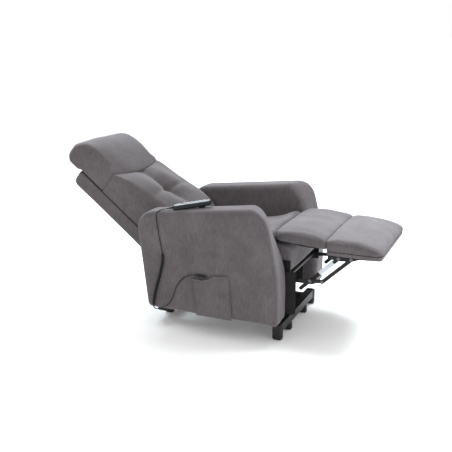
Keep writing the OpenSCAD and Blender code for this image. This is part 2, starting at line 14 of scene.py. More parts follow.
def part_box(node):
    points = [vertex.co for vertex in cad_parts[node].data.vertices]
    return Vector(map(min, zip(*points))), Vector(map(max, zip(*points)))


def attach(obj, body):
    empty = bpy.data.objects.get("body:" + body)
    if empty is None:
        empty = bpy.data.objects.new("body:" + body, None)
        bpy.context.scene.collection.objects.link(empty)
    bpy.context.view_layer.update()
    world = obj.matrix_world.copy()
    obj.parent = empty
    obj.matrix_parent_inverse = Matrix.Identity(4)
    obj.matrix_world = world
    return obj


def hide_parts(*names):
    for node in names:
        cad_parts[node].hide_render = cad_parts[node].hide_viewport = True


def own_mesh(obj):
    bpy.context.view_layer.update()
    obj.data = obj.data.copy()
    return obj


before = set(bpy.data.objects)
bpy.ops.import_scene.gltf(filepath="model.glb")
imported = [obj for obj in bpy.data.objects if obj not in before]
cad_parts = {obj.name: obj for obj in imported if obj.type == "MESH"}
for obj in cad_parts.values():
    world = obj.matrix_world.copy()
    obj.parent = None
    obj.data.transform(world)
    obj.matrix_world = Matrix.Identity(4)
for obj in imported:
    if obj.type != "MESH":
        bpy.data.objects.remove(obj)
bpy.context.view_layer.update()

# %% [markdown]
# ## The camera
# The chair is seen from a little above seat height, from the side that shows the arm
# and the open leg rest. A lens of about 60 mm from nearly four metres keeps the near arm from
# looking swollen. It is made first.

# %% Camera
CAMERA_AT = Vector((-3.338, -1.405, 1.453))
CAMERA_TURN = math.radians(23.4)
CAMERA_DIP = math.radians(15.42)
LENS_MM = 59.28

camera_data = bpy.data.cameras.new("camera")
camera_data.lens = LENS_MM
camera_data.sensor_width = 36
camera = bpy.data.objects.new("camera", camera_data)
bpy.context.collection.objects.link(camera)
camera.location = CAMERA_AT
look = Vector((math.cos(CAMERA_DIP) * math.cos(CAMERA_TURN),
               math.cos(CAMERA_DIP) * math.sin(CAMERA_TURN), -math.sin(CAMERA_DIP)))
camera.rotation_euler = look.to_track_quat("-Z", "Y").to_euler()
bpy.context.scene.camera = camera

# %% [markdown]
# ## Small tools for materials
# Colours are written as the hex values a paint chart or a paint programme shows, and turned to
# the linear values a shader wants. One function adds a node, sets it up and wires its inputs,
# so a material reads as a list of what feeds what.

# %% Colour and node helpers
def linear(code):
    parts = [int(code[k:k + 2], 16) / 255 for k in (1, 3, 5)]
    return tuple(p / 12.92 if p <= 0.04045 else ((p + 0.055) / 1.055) ** 2.4
                 for p in parts) + (1,)


def add(material, kind, inputs=None, **settings):
    """Adds a node. inputs maps a socket to a value or to another node's output."""
    node = material.node_tree.nodes.new(kind)
    for key, value in settings.items():
        setattr(node, key, value)
    for key, value in (inputs or {}).items():
        if isinstance(value, bpy.types.NodeSocket):
            material.node_tree.links.new(value, node.inputs[key])
        else:
            node.inputs[key].default_value = value
    return node


def new_material(name, **surface):
    """A material with only its Principled shader, whose fixed values are given by socket name."""
    material = bpy.data.materials.new(name)
    material.use_nodes = True
    shader = material.node_tree.nodes["Principled BSDF"]
    for key, value in surface.items():
        shader.inputs[key.replace("_", " ")].default_value = value
    return material, shader


def ramp(material, factor, stops):
    """A colour ramp with stops of (place, hex colour)."""
    node = add(material, "ShaderNodeValToRGB", {"Fac": factor})
    band = node.color_ramp
    while len(band.elements) < len(stops):
        band.elements.new(0.5)
    for element, (place, code) in zip(band.elements, stops):
        element.position = place
        element.color = linear(code)
    return node.outputs["Color"]


def per_mm(size):
    """The Noise or Wave scale whose pattern repeats about every size millimetres."""
    return 1000 / size


# %% [markdown]
# ## Velour upholstery
# The cover is a short-pile woven velour. Its pile catches light at a glancing angle, so edges
# and crowns look paler than flat faces: that is sheen, not gloss. The real pile is finer than
# a tenth of a millimetre, which can't be seen with the whole chair in view, so the nap is drawn
# as flecks of some millimetres, over soft hand-sized patches where the pile leans another way.

# %% Velour
def velour(name, dark, middle, light, thread=(1, 1, 1)):
    material, shader = new_material(name, Roughness=0.93, IOR=1.45, Sheen_Weight=0.42,
                                    Sheen_Roughness=0.42, Sheen_Tint=linear("#b9b4b8"),
                                    Specular_IOR_Level=0.18)
    place = add(material, "ShaderNodeTexCoord").outputs["Object"]
    lie = add(material, "ShaderNodeTexNoise", {"Vector": place, "Scale": per_mm(140),
                                              "Detail": 3.0, "Roughness": 0.55,
                                              "Distortion": 0.6})
    nap = add(material, "ShaderNodeTexNoise", {"Vector": place, "Scale": per_mm(7),
                                              "Detail": 4.0, "Roughness": 0.7})
    streaks = add(material, "ShaderNodeMapping", {"Vector": place, "Scale": thread})
    weave = add(material, "ShaderNodeTexNoise", {"Vector": streaks.outputs[0], "Scale": per_mm(9),
                                                "Detail": 2.0, "Roughness": 0.5})
    both = add(material, "ShaderNodeMix", {"Factor": 0.45, "A": nap.outputs["Fac"],
                                          "B": weave.outputs["Fac"]}, data_type="FLOAT")
    tone = add(material, "ShaderNodeMix", {"Factor": 0.6, "A": lie.outputs["Fac"],
                                          "B": both.outputs["Result"]}, data_type="FLOAT")
    colour = ramp(material, tone.outputs["Result"], [(0.30, dark), (0.5, middle), (0.70, light)])
    material.node_tree.links.new(colour, shader.inputs["Base Color"])
    bump = add(material, "ShaderNodeBump", {"Height": both.outputs["Result"], "Strength": 0.35,
                                           "Distance": 0.0012})
    material.node_tree.links.new(bump.outputs["Normal"], shader.inputs["Normal"])
    return material


velour_cover = velour("woven_velour_taupe", "#4c4749", "#5c5759", "#6b6769", thread=(1, 1, 0.25))
print("material:", velour_cover.name)

# %% [markdown]
# ## The hard materials
# The frame is mild steel, powder coated black: a sprayed and baked plastic skin with a faint
# orange-peel surface. Pins, ram and rivets are zinc plated, which is a grey, slightly cloudy
# metal. Feet, motor and handset are moulded ABS with a spark-eroded texture. The keys are
# silicone rubber, and the straps under the seat are woven elastic.

# %% Hard materials
def textured(name, stops, grain_mm, bump_mm, **surface):
    """A material whose tone and surface wander with one noise of the given grain."""
    material, shader = new_material(name, **surface)
    place = add(material, "ShaderNodeTexCoord").outputs["Object"]
    grain = add(material, "ShaderNodeTexNoise", {"Vector": place, "Scale": per_mm(grain_mm),
                                                "Detail": 5.0, "Roughness": 0.6})
    cloud = add(material, "ShaderNodeTexNoise", {"Vector": place, "Scale": per_mm(60),
                                                "Detail": 3.0})
    material.node_tree.links.new(ramp(material, cloud.outputs["Fac"], stops),
                                 shader.inputs["Base Color"])
    rough = surface.get("Roughness", 0.5)
    wear = add(material, "ShaderNodeMapRange", {"Value": grain.outputs["Fac"], "From Min": 0.3,
                                               "From Max": 0.7, "To Min": rough - 0.07,
                                               "To Max": rough + 0.07})
    material.node_tree.links.new(wear.outputs["Result"], shader.inputs["Roughness"])
    bump = add(material, "ShaderNodeBump", {"Height": grain.outputs["Fac"], "Strength": 0.5,
                                           "Distance": bump_mm / 1000})
    material.node_tree.links.new(bump.outputs["Normal"], shader.inputs["Normal"])
    return material


powder_coat = textured("powder_coated_steel", [(0.35, "#060607"), (0.65, "#0e0e10")], 2.5, 0.12,
                       Roughness=0.48, IOR=1.5, Specular_IOR_Level=0.35)
zinc_plate = textured("zinc_plated_steel", [(0.3, "#9fa1a4"), (0.7, "#c4c6c8")], 6, 0.05,
                      Roughness=0.33, Metallic=1.0)
moulded_abs = textured("moulded_black_abs", [(0.3, "#0a0a0b"), (0.7, "#131315")], 1.6, 0.10,
                       Roughness=0.55, IOR=1.53, Specular_IOR_Level=0.35)
handset_abs = textured("handset_navy_abs", [(0.3, "#090d12"), (0.7, "#10161d")], 1.2, 0.08,
                       Roughness=0.45, IOR=1.53, Specular_IOR_Level=0.35)
lead_pvc = textured("black_pvc_lead", [(0.3, "#080a0e"), (0.7, "#10141a")], 3, 0.06,
                    Roughness=0.45, IOR=1.52, Specular_IOR_Level=0.35)
worn_pins = textured("blackened_steel_pins", [(0.3, "#3c3e41"), (0.7, "#77797c")], 5, 0.05,
                     Roughness=0.38, Metallic=1.0)
silicone = textured("silicone_keys", [(0.3, "#a9aeb4"), (0.7, "#c3c8cd")], 2, 0.05,
                    Roughness=0.5, IOR=1.41)
sleeve_pvc = textured("pale_pvc_sleeve", [(0.3, "#b9c4cf"), (0.7, "#d3dbe3")], 4, 0.08,
                      Roughness=0.4, IOR=1.52)
webbing = textured("woven_elastic_webbing", [(0.3, "#151515"), (0.7, "#232323")], 3, 0.5,
                   Roughness=0.85, IOR=1.5)
# The black lining cloth. Where its sheets fill dark gaps under the seat and behind the cushions,
# they also stand for painted shade.
lining = textured("black_lining_cloth_and_shade", [(0.3, "#101010"), (0.7, "#1c1b1c")], 4, 0.4,
                  Roughness=0.95, IOR=1.5)
thread_grey = textured("polyester_thread", [(0.3, "#55504f"), (0.7, "#67615f")], 1.5, 0.1,
                       Roughness=0.7, IOR=1.5)
print("hard materials ready")

# %% [markdown]
# ## Floor and light
# A pale seamless floor in a white room, as in a catalogue studio. The large lamp stands high
# behind the chair's left side, like a window. A narrow one hangs over the leg rest, the
# brightest part. The reclined back leans away from both. A weak lamp fills the front.

# %% Stage
def lamp(name, place, aim, size, power, colour, spread=180):
    data = bpy.data.lights.new(name, "AREA")
    data.spread = math.radians(spread)
    data.color = colour
    data.shape = "SQUARE"
    data.size = size
    data.energy = power
    item = bpy.data.objects.new(name, data)
    item.location = place
    item.rotation_euler = (Vector(aim) - Vector(place)).to_track_quat("-Z", "Y").to_euler()
    bpy.context.collection.objects.link(item)


lamp("key", (2.2, 1.9, 2.9), (0, -0.3, 0.4), 1.8, 190, (0.86, 0.96, 1.0))
lamp("leg_rest_lamp", (0.4, -1.2, 2.3), (0.05, -0.9, 0.5), 0.8, 9, (0.86, 0.96, 1.0), 62)
lamp("fill", (-1.7, -3.8, 1.6), (0, 0, 0.4), 2.4, 26, (1.0, 0.98, 0.97))

world = bpy.data.worlds.new("studio")
bpy.context.scene.world = world
world.use_nodes = True
world.node_tree.nodes["Background"].inputs["Color"].default_value = linear("#ffffff")
world.node_tree.nodes["Background"].inputs["Strength"].default_value = 1.0
bpy.context.scene.view_settings.view_transform = "Standard"

bpy.ops.object.select_all(action="DESELECT")
bpy.ops.mesh.primitive_plane_add(size=120, location=(0, 0, -0.0005))
floor = bpy.context.object
floor.name = "floor"
floor.data.materials.append(textured("studio_floor", [(0.3, "#fbfbfb"), (0.7, "#fdfdfd")],
                                     30, 0.0, Roughness=0.9, Emission_Strength=0.06))


# %% [markdown]
# ## Modelling helpers
# `finish` puts a finished piece in the frame: its place goes into its mesh, it gets its
# material, rides on its body and stands for its CAD nodes. `curve_piece` makes a round or curly
# line as a real curve.

# %% Modelling helpers
def start_clean():
    if bpy.context.object and bpy.context.object.mode != "OBJECT":
        bpy.ops.object.mode_set(mode="OBJECT")
    bpy.ops.object.select_all(action="DESELECT")


def take(*pieces):
    """Makes these pieces the only selected ones and the first of them the active one."""
    start_clean()
    for piece in pieces:
        piece.select_set(True)
    bpy.context.view_layer.objects.active = pieces[0]


def join(pieces, name):
    take(*pieces)
    bpy.ops.object.join()
    bpy.context.object.name = name
    return bpy.context.object


def bevel_all(offset, segments):
    """Rounds every edge of the active mesh."""
    bpy.ops.object.mode_set(mode="EDIT")
    bpy.ops.mesh.select_all(action="SELECT")
    bpy.ops.mesh.bevel(offset=offset, offset_pct=0, segments=segments, affect="EDGES")
    bpy.ops.object.mode_set(mode="OBJECT")


def settle(piece):
    """Moves a piece's place, turn and size into its mesh."""
    piece.data.transform(piece.matrix_basis)
    piece.matrix_basis = Matrix.Identity(4)


def finish(piece, material, body, replaces=(), smooth=40):
    settle(piece)
    piece.data.materials.clear()
    piece.data.materials.append(material)
    take(piece)
    bpy.ops.object.shade_smooth_by_angle(angle=math.radians(smooth))
    piece.select_set(False)
    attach(piece, body)
    if replaces:
        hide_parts(*replaces)
    return piece


def curve_piece(name, points, radius, resolution):
    """A round cord along points, in metres, as a curve of one spline."""
    data = bpy.data.curves.new(name, "CURVE")
    data.dimensions = "3D"
    data.bevel_depth = radius
    data.bevel_resolution = resolution
    data.use_fill_caps = True
    line = data.splines.new("POLY")
    line.points.add(len(points) - 1)
    for point, place in zip(line.points, points):
        point.co = (*place, 1)
    piece = bpy.data.objects.new(name, data)
    bpy.context.collection.objects.link(piece)
    return piece


def smooth_route(points, steps):
    """Points on a smooth curve through the given ones."""
    out = []
    last = len(points) - 1
    for k in range(last):
        a, b = Vector(points[max(k - 1, 0)]), Vector(points[k])
        c, d = Vector(points[k + 1]), Vector(points[min(k + 2, last)])
        for s in range(steps):
            t = s / steps
            out.append(0.5 * (2 * b + (c - a) * t + (2 * a - 5 * b + 4 * c - d) * t ** 2
                              + (3 * b - a - 3 * c + d) * t ** 3))
    out.append(Vector(points[last]))
    return out


def length_of(points):
    return sum((b - a).length for a, b in zip(points, points[1:]))


def mm(*points):
    return [Vector(p) / 1000 for p in points]


# %% [markdown]
# ## The handset lead
# One lead runs from the handset's tail, over the arm's rounded edge and down its side. There it
# turns curly for about a hand and a half, like an old telephone's, and goes on plain along the
# arm's lower side and up to an in-line connector at the pocket's mouth. Each plain stretch is a
# curve along given points, the same as the CAD route. The curly stretch is a helix.

# %% Cord routes
UPPER_ROUTE = mm((-330, 195.4, 602.7), (-333, 207, 600), (-338, 219, 597), (-345, 229, 593.5),
                 (-353, 235, 588.5), (-364, 238, 579), (-371, 235, 558), (-374, 230, 530),
                 (-374, 224, 490), (-374, 217, 450), (-374, 211, 420), (-375, 206, 395))
CURL_ROUTE = mm((-376, 205, 392), (-376, 205, 360), (-376, 212, 320), (-376, 223, 280),
                (-376, 235, 240), (-376, 246, 200), (-376, 256, 160), (-376, 261, 122))
LOWER_ROUTE = mm((-374, 261, 119), (-374, 257, 111), (-374, 245, 107), (-374, 225, 112),
                 (-374, 200, 124), (-374, 178, 142), (-374, 162, 165), (-374, 150, 195),
                 (-374, 139, 225), (-374, 126, 250), (-374, 108, 272), (-374, 90, 288),
                 (-375, 70, 300), (-376, 50, 306), (-377, 34, 307))
LEAD_D = 0.0044
CURL_D = 0.0145
CURL_TURNS = 46
CURL_SAMPLES = 14


def curl_points():
    """The curly stretch: a helix round its route, whose radius grows from nothing at each end."""
    axis = smooth_route(CURL_ROUTE, 6)
    total = length_of(axis)
    radius = (CURL_D - LEAD_D) / 2
    samples = CURL_TURNS * CURL_SAMPLES
    points, run, leg = [], 0.0, 0
    for k in range(1, samples):
        want = total * k / samples
        while leg < len(axis) - 2 and run + (axis[leg + 1] - axis[leg]).length < want:
            run += (axis[leg + 1] - axis[leg]).length
            leg += 1
        along = (axis[leg + 1] - axis[leg]).normalized()
        centre = axis[leg] + along * (want - run)
        side = Vector((1, 0, 0))
        up = along.cross(side).normalized()
        angle = 2 * math.pi * k / CURL_SAMPLES
        swell = min(1, k / CURL_SAMPLES, (samples - k) / CURL_SAMPLES)
        points.append(centre + radius * swell * (math.cos(angle) * side + math.sin(angle) * up))
    return points


def without_repeats(points, apart):
    """The route without points that lie almost on the one before."""
    kept = [points[0]]
    for point in points[1:]:
        if (point - kept[-1]).length > apart:
            kept.append(point)
    return kept


def hand_lead():
    points = without_repeats(smooth_route(UPPER_ROUTE, 4) + curl_points()
                             + smooth_route(LOWER_ROUTE, 4), 0.0012)
    piece = curve_piece("hand_lead", points, LEAD_D / 2, 3)
    piece.data.materials.append(lead_pvc)
    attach(piece, "seat_unit")
    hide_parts("handset_lead", "handset_curly_lead", "handset_lower_lead")
    return piece, points


# %% [markdown]
# ## The lead's fittings
# A lead fails first where it is bent sharply out of a housing, so a soft tapered sleeve with
# rings guides it out of the handset. At the other end a short moulded connector with a grip
# in its middle joins the handset's lead to the chair's own wiring.

# %% Strain relief and connector
def turned(name, axis_start, axis_end, profile, sides=32):
    """A turned shape along a line. profile lists (share of the length, radius in metres)."""
    start, end = Vector(axis_start), Vector(axis_end)
    start_clean()
    bpy.ops.mesh.primitive_circle_add(vertices=sides, radius=profile[0][1], fill_type="NGON")
    piece = bpy.context.object
    piece.name = name
    bpy.ops.object.mode_set(mode="EDIT")
    bpy.ops.mesh.select_mode(type="FACE")
    bpy.ops.mesh.select_all(action="SELECT")
    total = (end - start).length
    for (share, radius), (share_2, radius_2) in zip(profile, profile[1:]):
        bpy.ops.mesh.extrude_region_move(TRANSFORM_OT_translate={
            "value": (0, 0, (share_2 - share) * total)})
        bpy.ops.transform.resize(value=(radius_2 / radius, radius_2 / radius, 1),
                                 center_override=(0, 0, share_2 * total))
    bpy.ops.mesh.select_all(action="SELECT")
    bpy.ops.mesh.normals_make_consistent(inside=False)
    bpy.ops.object.mode_set(mode="OBJECT")
    piece.matrix_basis = Matrix.Translation(start) @ (end - start).to_track_quat(
        "Z", "Y").to_matrix().to_4x4()
    return piece


def bounds_middle(node):
    low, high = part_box(node)
    return (Vector(low) + Vector(high)) / 2


ARM_SLOPE = math.atan(59 / 550)
HANDSET_L, HANDSET_W, HANDSET_T = 0.188, 0.050, 0.022
HANDSET_TILT, HANDSET_TURN = math.radians(4.5), math.radians(14)


def arm_top(y):
    return 0.642 - (y + 0.260) * math.tan(ARM_SLOPE)


handset_raise = 0.001 + HANDSET_L / 2 * math.sin(HANDSET_TILT)
handset_place = (Matrix.Translation((-0.301, 0.079, arm_top(0.079) + handset_raise))
                 @ Matrix.Rotation(HANDSET_TURN, 4, "Z")
                 @ Matrix.Rotation(-ARM_SLOPE - HANDSET_TILT, 4, "X"))
relief_start = handset_place @ Vector((0, HANDSET_L / 2, HANDSET_T / 2))
relief_end = UPPER_ROUTE[0]
rings = [(0, 0.0062)]
for ring in range(4):
    place = 0.12 + 0.2 * ring
    radius = 0.0060 - 0.0006 * ring
    rings += [(place, radius), (place + 0.02, radius - 0.0011), (place + 0.09, radius - 0.0011),
              (place + 0.11, radius - 0.0004)]
rings += [(1, 0.0034)]
relief = turned("strain_relief", relief_start, relief_end, rings)
finish(relief, lead_pvc, "seat_unit", ["handset_strain_relief"])

low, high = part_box("handset_connector")
connector_axis = bounds_middle("handset_connector")
grip = [(0, 0.0028), (0.02, 0.0042), (0.22, 0.005), (0.26, 0.0066)]
for ridge in range(5):
    place = 0.30 + 0.085 * ridge
    grip += [(place, 0.007), (place + 0.03, 0.007), (place + 0.04, 0.0062), (place + 0.07, 0.0062)]
grip += [(0.73, 0.0068), (0.78, 0.005), (0.98, 0.0042), (1, 0.003)]
connector = turned("lead_connector", (connector_axis.x, high[1], connector_axis.z),
                   (connector_axis.x, low[1], connector_axis.z), grip)
finish(connector, lead_pvc, "seat_unit", ["handset_connector"])

lead, lead_points = hand_lead()
length_of(lead_points)
print("lead:", round(length_of(lead_points), 3), "m, of which",
      round(length_of(curl_points()), 3), "m is curled")

# %% [markdown]
# ## Hard parts that the CAD already shapes well
# Links, tubes, pins, the ram and the straps keep their CAD meshes and only get a finish.

# %% Finishes for the CAD's own parts
CAD_FINISH = {
    powder_coat: ["base_front_tube", "base_rear_tube", "base_side_rails", "lift_brackets",
                  "actuator_bracket", "lift_arm_links", "lift_torsion_tube", "lift_front_links",
                  "seat_side_plates", "seat_cross_tubes", "arm_brackets", "back_hinge_plates",
                  "back_frame", "leg_carrier_bars", "leg_torque_tube", "leg_drive_bars",
                  "leg_support_bars", "foot_rails"],
    zinc_plate: ["lift_outer_tube", "lift_rod"],
    worn_pins: ["lift_bracket_pins", "seat_pins", "leg_carrier_pins", "foot_rail_pins"],
    moulded_abs: ["power_supply", "mains_inlet", "lift_motor"],
    silicone: ["button_%d" % k for k in range(1, 7)],
    webbing: ["seat_webbing"],
}
for finish_material, nodes in CAD_FINISH.items():
    for node in nodes:
        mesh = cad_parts[node].data
        mesh.materials.clear()
        mesh.materials.append(finish_material)
print("CAD parts finished:", sum(len(v) for v in CAD_FINISH.values()))


# %% [markdown]
# ## How the padding is shaped
# Every cushion starts as a cube primitive whose faces are cut into a grid. `flat_slab` then
# pulls the grid over a slab with rounded edges and corners, and each cushion bends that slab to
# its own outline, adds its crown, and presses in its tufts and creases. The grid is closer near
# the edges, where the curves are tight. Last, Blender's cloth blows the soft ones up a little
# under pressure, with their seams held, so that the cover wrinkles where real cloth would.

# %% Padding tools
CLOTH_FRAMES = 16


def grid_cube(name, cuts):
    start_clean()
    bpy.ops.mesh.primitive_cube_add(size=2)
    piece = bpy.context.object
    piece.name = name
    bpy.ops.object.mode_set(mode="EDIT")
    bpy.ops.mesh.select_all(action="SELECT")
    bpy.ops.mesh.subdivide(number_cuts=cuts)
    bpy.ops.object.mode_set(mode="OBJECT")
    return piece


def to_edges(t):
    """Crowds the values between -1 and 1 towards both ends."""
    return 0.45 * t + 0.55 * math.sin(math.pi * t / 2)


def clamp(value, low, high):
    return max(low, min(high, value))


def bend(points, x):
    """Straight-line reading of a table of (place, value)."""
    if x <= points[0][0]:
        return points[0][1]
    for (a, va), (b, vb) in zip(points, points[1:]):
        if x <= b:
            return va + (vb - va) * (x - a) / (b - a)
    return points[-1][1]


def smooth_bend(points, x):
    """The same table read along a smooth curve."""
    if x <= points[0][0]:
        return points[0][1]
    last = len(points) - 1
    for k in range(last):
        (a, va), (b, vb) = points[k], points[k + 1]
        if x <= b:
            before, after = points[max(k - 1, 0)], points[min(k + 2, last)]
            slope_a = (vb - before[1]) / (b - before[0])
            slope_b = (after[1] - va) / (after[0] - a)
            t, gap = (x - a) / (b - a), b - a
            return ((2 * t ** 3 - 3 * t ** 2 + 1) * va + (t ** 3 - 2 * t ** 2 + t) * gap * slope_a
                    + (3 * t ** 2 - 2 * t ** 3) * vb + (t ** 3 - t ** 2) * gap * slope_b)
    return points[-1][1]


def mould(piece, shape):
    """Moves every vertex of a piece to where shape says."""
    for vertex in piece.data.vertices:
        vertex.co = shape(vertex.co)
    piece.data.update()


def ripple(p, size, height, seed=0):
    """A gentle unevenness of stuffed cloth: size and height in metres."""
    return height * noise.noise(Vector((p[0], p[1] + 7.3 * seed, p[2])) / size)


def groove(distance, width, depth):
    return -depth * math.exp(-(distance / width) ** 2)


def subdivide_smooth(piece):
    modifier = piece.modifiers.new("subdivision", "SUBSURF")
    modifier.levels = modifier.render_levels = 1
    take(piece)
    bpy.ops.object.modifier_apply(modifier=modifier.name)
    piece.select_set(False)


def inflate(piece, held, pressure, cap):
    """Blows the cover up as cloth and keeps the result.

    held(vertex place) is how firmly it is held, 0 to 1. cap is the furthest a vertex moves."""
    before = [v.co.copy() for v in piece.data.vertices]
    pins = piece.vertex_groups.new(name="held")
    for k, place in enumerate(before):
        pins.add([k], clamp(held(place), 0.0, 1.0), "REPLACE")
    cloth = piece.modifiers.new("cloth", "CLOTH")
    cloth.settings.quality = 5
    cloth.settings.mass = 0.4
    cloth.settings.tension_stiffness = 25
    cloth.settings.compression_stiffness = 25
    cloth.settings.shear_stiffness = 10
    cloth.settings.bending_stiffness = 1.2
    cloth.settings.use_pressure = True
    cloth.settings.uniform_pressure_force = pressure
    cloth.settings.vertex_group_mass = "held"
    cloth.settings.effector_weights.gravity = 0
    cloth.collision_settings.use_collision = False
    cloth.point_cache.frame_start = 1
    cloth.point_cache.frame_end = CLOTH_FRAMES
    for number in range(1, CLOTH_FRAMES + 1):
        bpy.context.scene.frame_set(number)
    graph = bpy.context.evaluated_depsgraph_get()
    blown = [v.co.copy() for v in piece.evaluated_get(graph).data.vertices]
    piece.modifiers.remove(cloth)
    bpy.context.scene.frame_set(1)
    for vertex, old, new in zip(piece.data.vertices, before, blown):
        move = new - old
        if move.length > cap:
            move = move.normalized() * cap
        vertex.co = old + move
    piece.vertex_groups.clear()
    piece.data.update()


def flat_slab(point, half, edges, corners):
    """Takes a point of a cube's surface to a slab that lies in the first two axes.

    edges rounds its lower and upper rims. corners gives the radius of its four corners, at
    the low-low, high-low, low-high and high-high ends of the first two axes."""
    p = [to_edges(point[k]) * half[k] for k in range(3)]
    edge = edges(p) if callable(edges) else edges[p[2] > 0]
    depth = min(half[0] - abs(p[0]), half[1] - abs(p[1]))
    out_a, out_b = max(edge - depth, 0), max(abs(p[2]) - (half[2] - edge), 0)
    reach = math.hypot(out_a, out_b)
    pull, z = 0.0, p[2]
    if out_a > 0 and out_b > 0:
        pull = out_a - out_a * edge / reach
        z = math.copysign(half[2] - edge + out_b * edge / reach, p[2])
    radius = max(corners[(p[0] > 0) + 2 * (p[1] > 0)], edge)
    core = [clamp(p[k], radius - half[k], half[k] - radius) for k in range(2)]
    out = [p[0] - core[0], p[1] - core[1]]
    span, size = math.hypot(*out), max(abs(out[0]), abs(out[1]))
    if span > 1e-9:
        out = [c / span * (size - pull) for c in out]
    return core[0] + out[0], core[1] + out[1], z


def rims(low, high, joined, end, half):
    """Rim sizes that shrink to joined at one end (-1 or 1) of the second axis, where pads meet."""
    def edges(p):
        t = clamp((end * p[1] / half[1] - 0.55) / 0.35, 0, 1)
        edge = high if p[2] > 0 else low
        return edge + (min(joined, edge) - edge) * eased(t)
    return edges


def from_edges(value):
    """Undoes to_edges."""
    low, high = -1.0, 1.0
    for _ in range(24):
        middle = (low + high) / 2
        if to_edges(middle) < value:
            low = middle
        else:
            high = middle
    return low


def share_of(value, half):
    """A place between -half and half as a share from 0 to 1."""
    return (value + half) / (2 * half)


def eased(t):
    """A share from 0 to 1, with slow ends."""
    return t * t * (3 - 2 * t)


def cushion(name, cuts, shape, material, body, nodes, held=None, pressure=2.5,
            cap=0.009):
    piece = grid_cube(name, cuts)
    mould(piece, shape)
    if held:
        inflate(piece, held, pressure, cap)
    subdivide_smooth(piece)
    finish(piece, material, body, nodes, smooth=60)
    return piece


def on_cushion(piece, half, shape, path):
    """Points on a cushion's skin. path gives them in the slab's own lengths, before its bends."""
    surface = BVHTree.FromObject(piece, bpy.context.evaluated_depsgraph_get())
    out = []
    for spot in path:
        cube = Vector([from_edges(clamp(spot[k] / half[k], -1, 1)) for k in range(3)])
        place, normal, _, _ = surface.find_nearest(shape(cube))
        out.append((place, normal))
    return out


def even_points(marks, gap):
    """Marks of (place, normal) read again at even gaps, as (place, normal, direction)."""
    out, wait = [], 0.0
    for (a, na), (b, nb) in zip(marks, marks[1:]):
        leg = (b - a).length
        while wait < leg:
            t = wait / leg
            out.append((a.lerp(b, t), na.lerp(nb, t).normalized(), (b - a).normalized()))
            wait += gap
        wait -= leg
    return out


def line_of(start, end, count):
    """Evenly spaced points on the straight line from start to end, in a slab's own lengths."""
    return [[a + (b - a) * k / count for a, b in zip(start, end)] for k in range(count + 1)]


def seam_line(name, marks, body, radius=0.0009):
    """A sewn seam: a thin raised line along marks of (place, normal), coloured darker than the
    velour as painted shade of the seam's groove.
    """
    points = [place - normal * radius * 0.35 for place, normal in marks]
    take(curve_piece(name, points, radius, 1))
    bpy.ops.object.convert(target="MESH")
    return finish(bpy.context.object, seam_painted_shade, body, smooth=80)


def stitch_row(name, marks, body, aside, gap=0.0075, length=0.0046):
    """A row of topstitches beside a seam. One stitch is modelled, and the rest are its copies."""
    start_clean()
    bpy.ops.mesh.primitive_cylinder_add(vertices=6, radius=0.0007, depth=length)
    stitch = bpy.context.object
    bevel_all(0.0004, 1)
    copies = []
    for place, normal, along in even_points(marks, gap):
        side = along.cross(normal).normalized()
        copy = stitch.copy()
        copy.data = stitch.data.copy()
        turn = Matrix((side, normal, along)).transposed().to_4x4()
        copy.data.transform(Matrix.Translation(place + side * aside + normal * 0.0002) @ turn)
        bpy.context.collection.objects.link(copy)
        copies.append(copy)
    bpy.data.objects.remove(stitch)
    return finish(join(copies, name), thread_grey, body)


# Seam lines are coloured darker than the velour: painted shade for the shadow in each seam's
# groove.
seam_painted_shade = textured("velour_seam_painted_shade", [(0.3, "#4a4648"), (0.7, "#575355")], 4, 0.3, Roughness=0.95)
print("padding tools ready")

# %% [markdown]
# ## The arms
# Each arm is a plywood box wrapped in foam and pulled tight, so it keeps flat sides, but its
# rims are round and the top's front corner is a big soft curve. A facing seam follows the
# front edge, and the side cover has one long, loose crease where it was drawn over the foam.

# %% Arms
ARM_FRONT = [(0.104, -0.371), (0.272, -0.371), (0.379, -0.361), (0.494, -0.338), (0.560, -0.322),
             (0.645, -0.300)]
ARM_REAR = [(0.104, 0.301), (0.310, 0.326), (0.470, 0.345), (0.577, 0.350)]
ARM_HALF = (0.340, 0.245, 0.065)
ARM_LOW = 0.104
ARM_X = 0.302
FACING = 0.010
FRONT_CORNER = 0.078
REAR_CORNER = 0.080
ARM_TURN_IN = [(0.36, 0), (0.42, 0.010), (0.47, 0.024), (0.53, 0.038), (0.60, 0.044)]


def facing_depth(along):
    """How far the facing seam lies from the rim, from the arm's front, 0, to its rear, 1."""
    return FACING + 0.016 * clamp((along - 0.05) / 0.25, 0, 1)


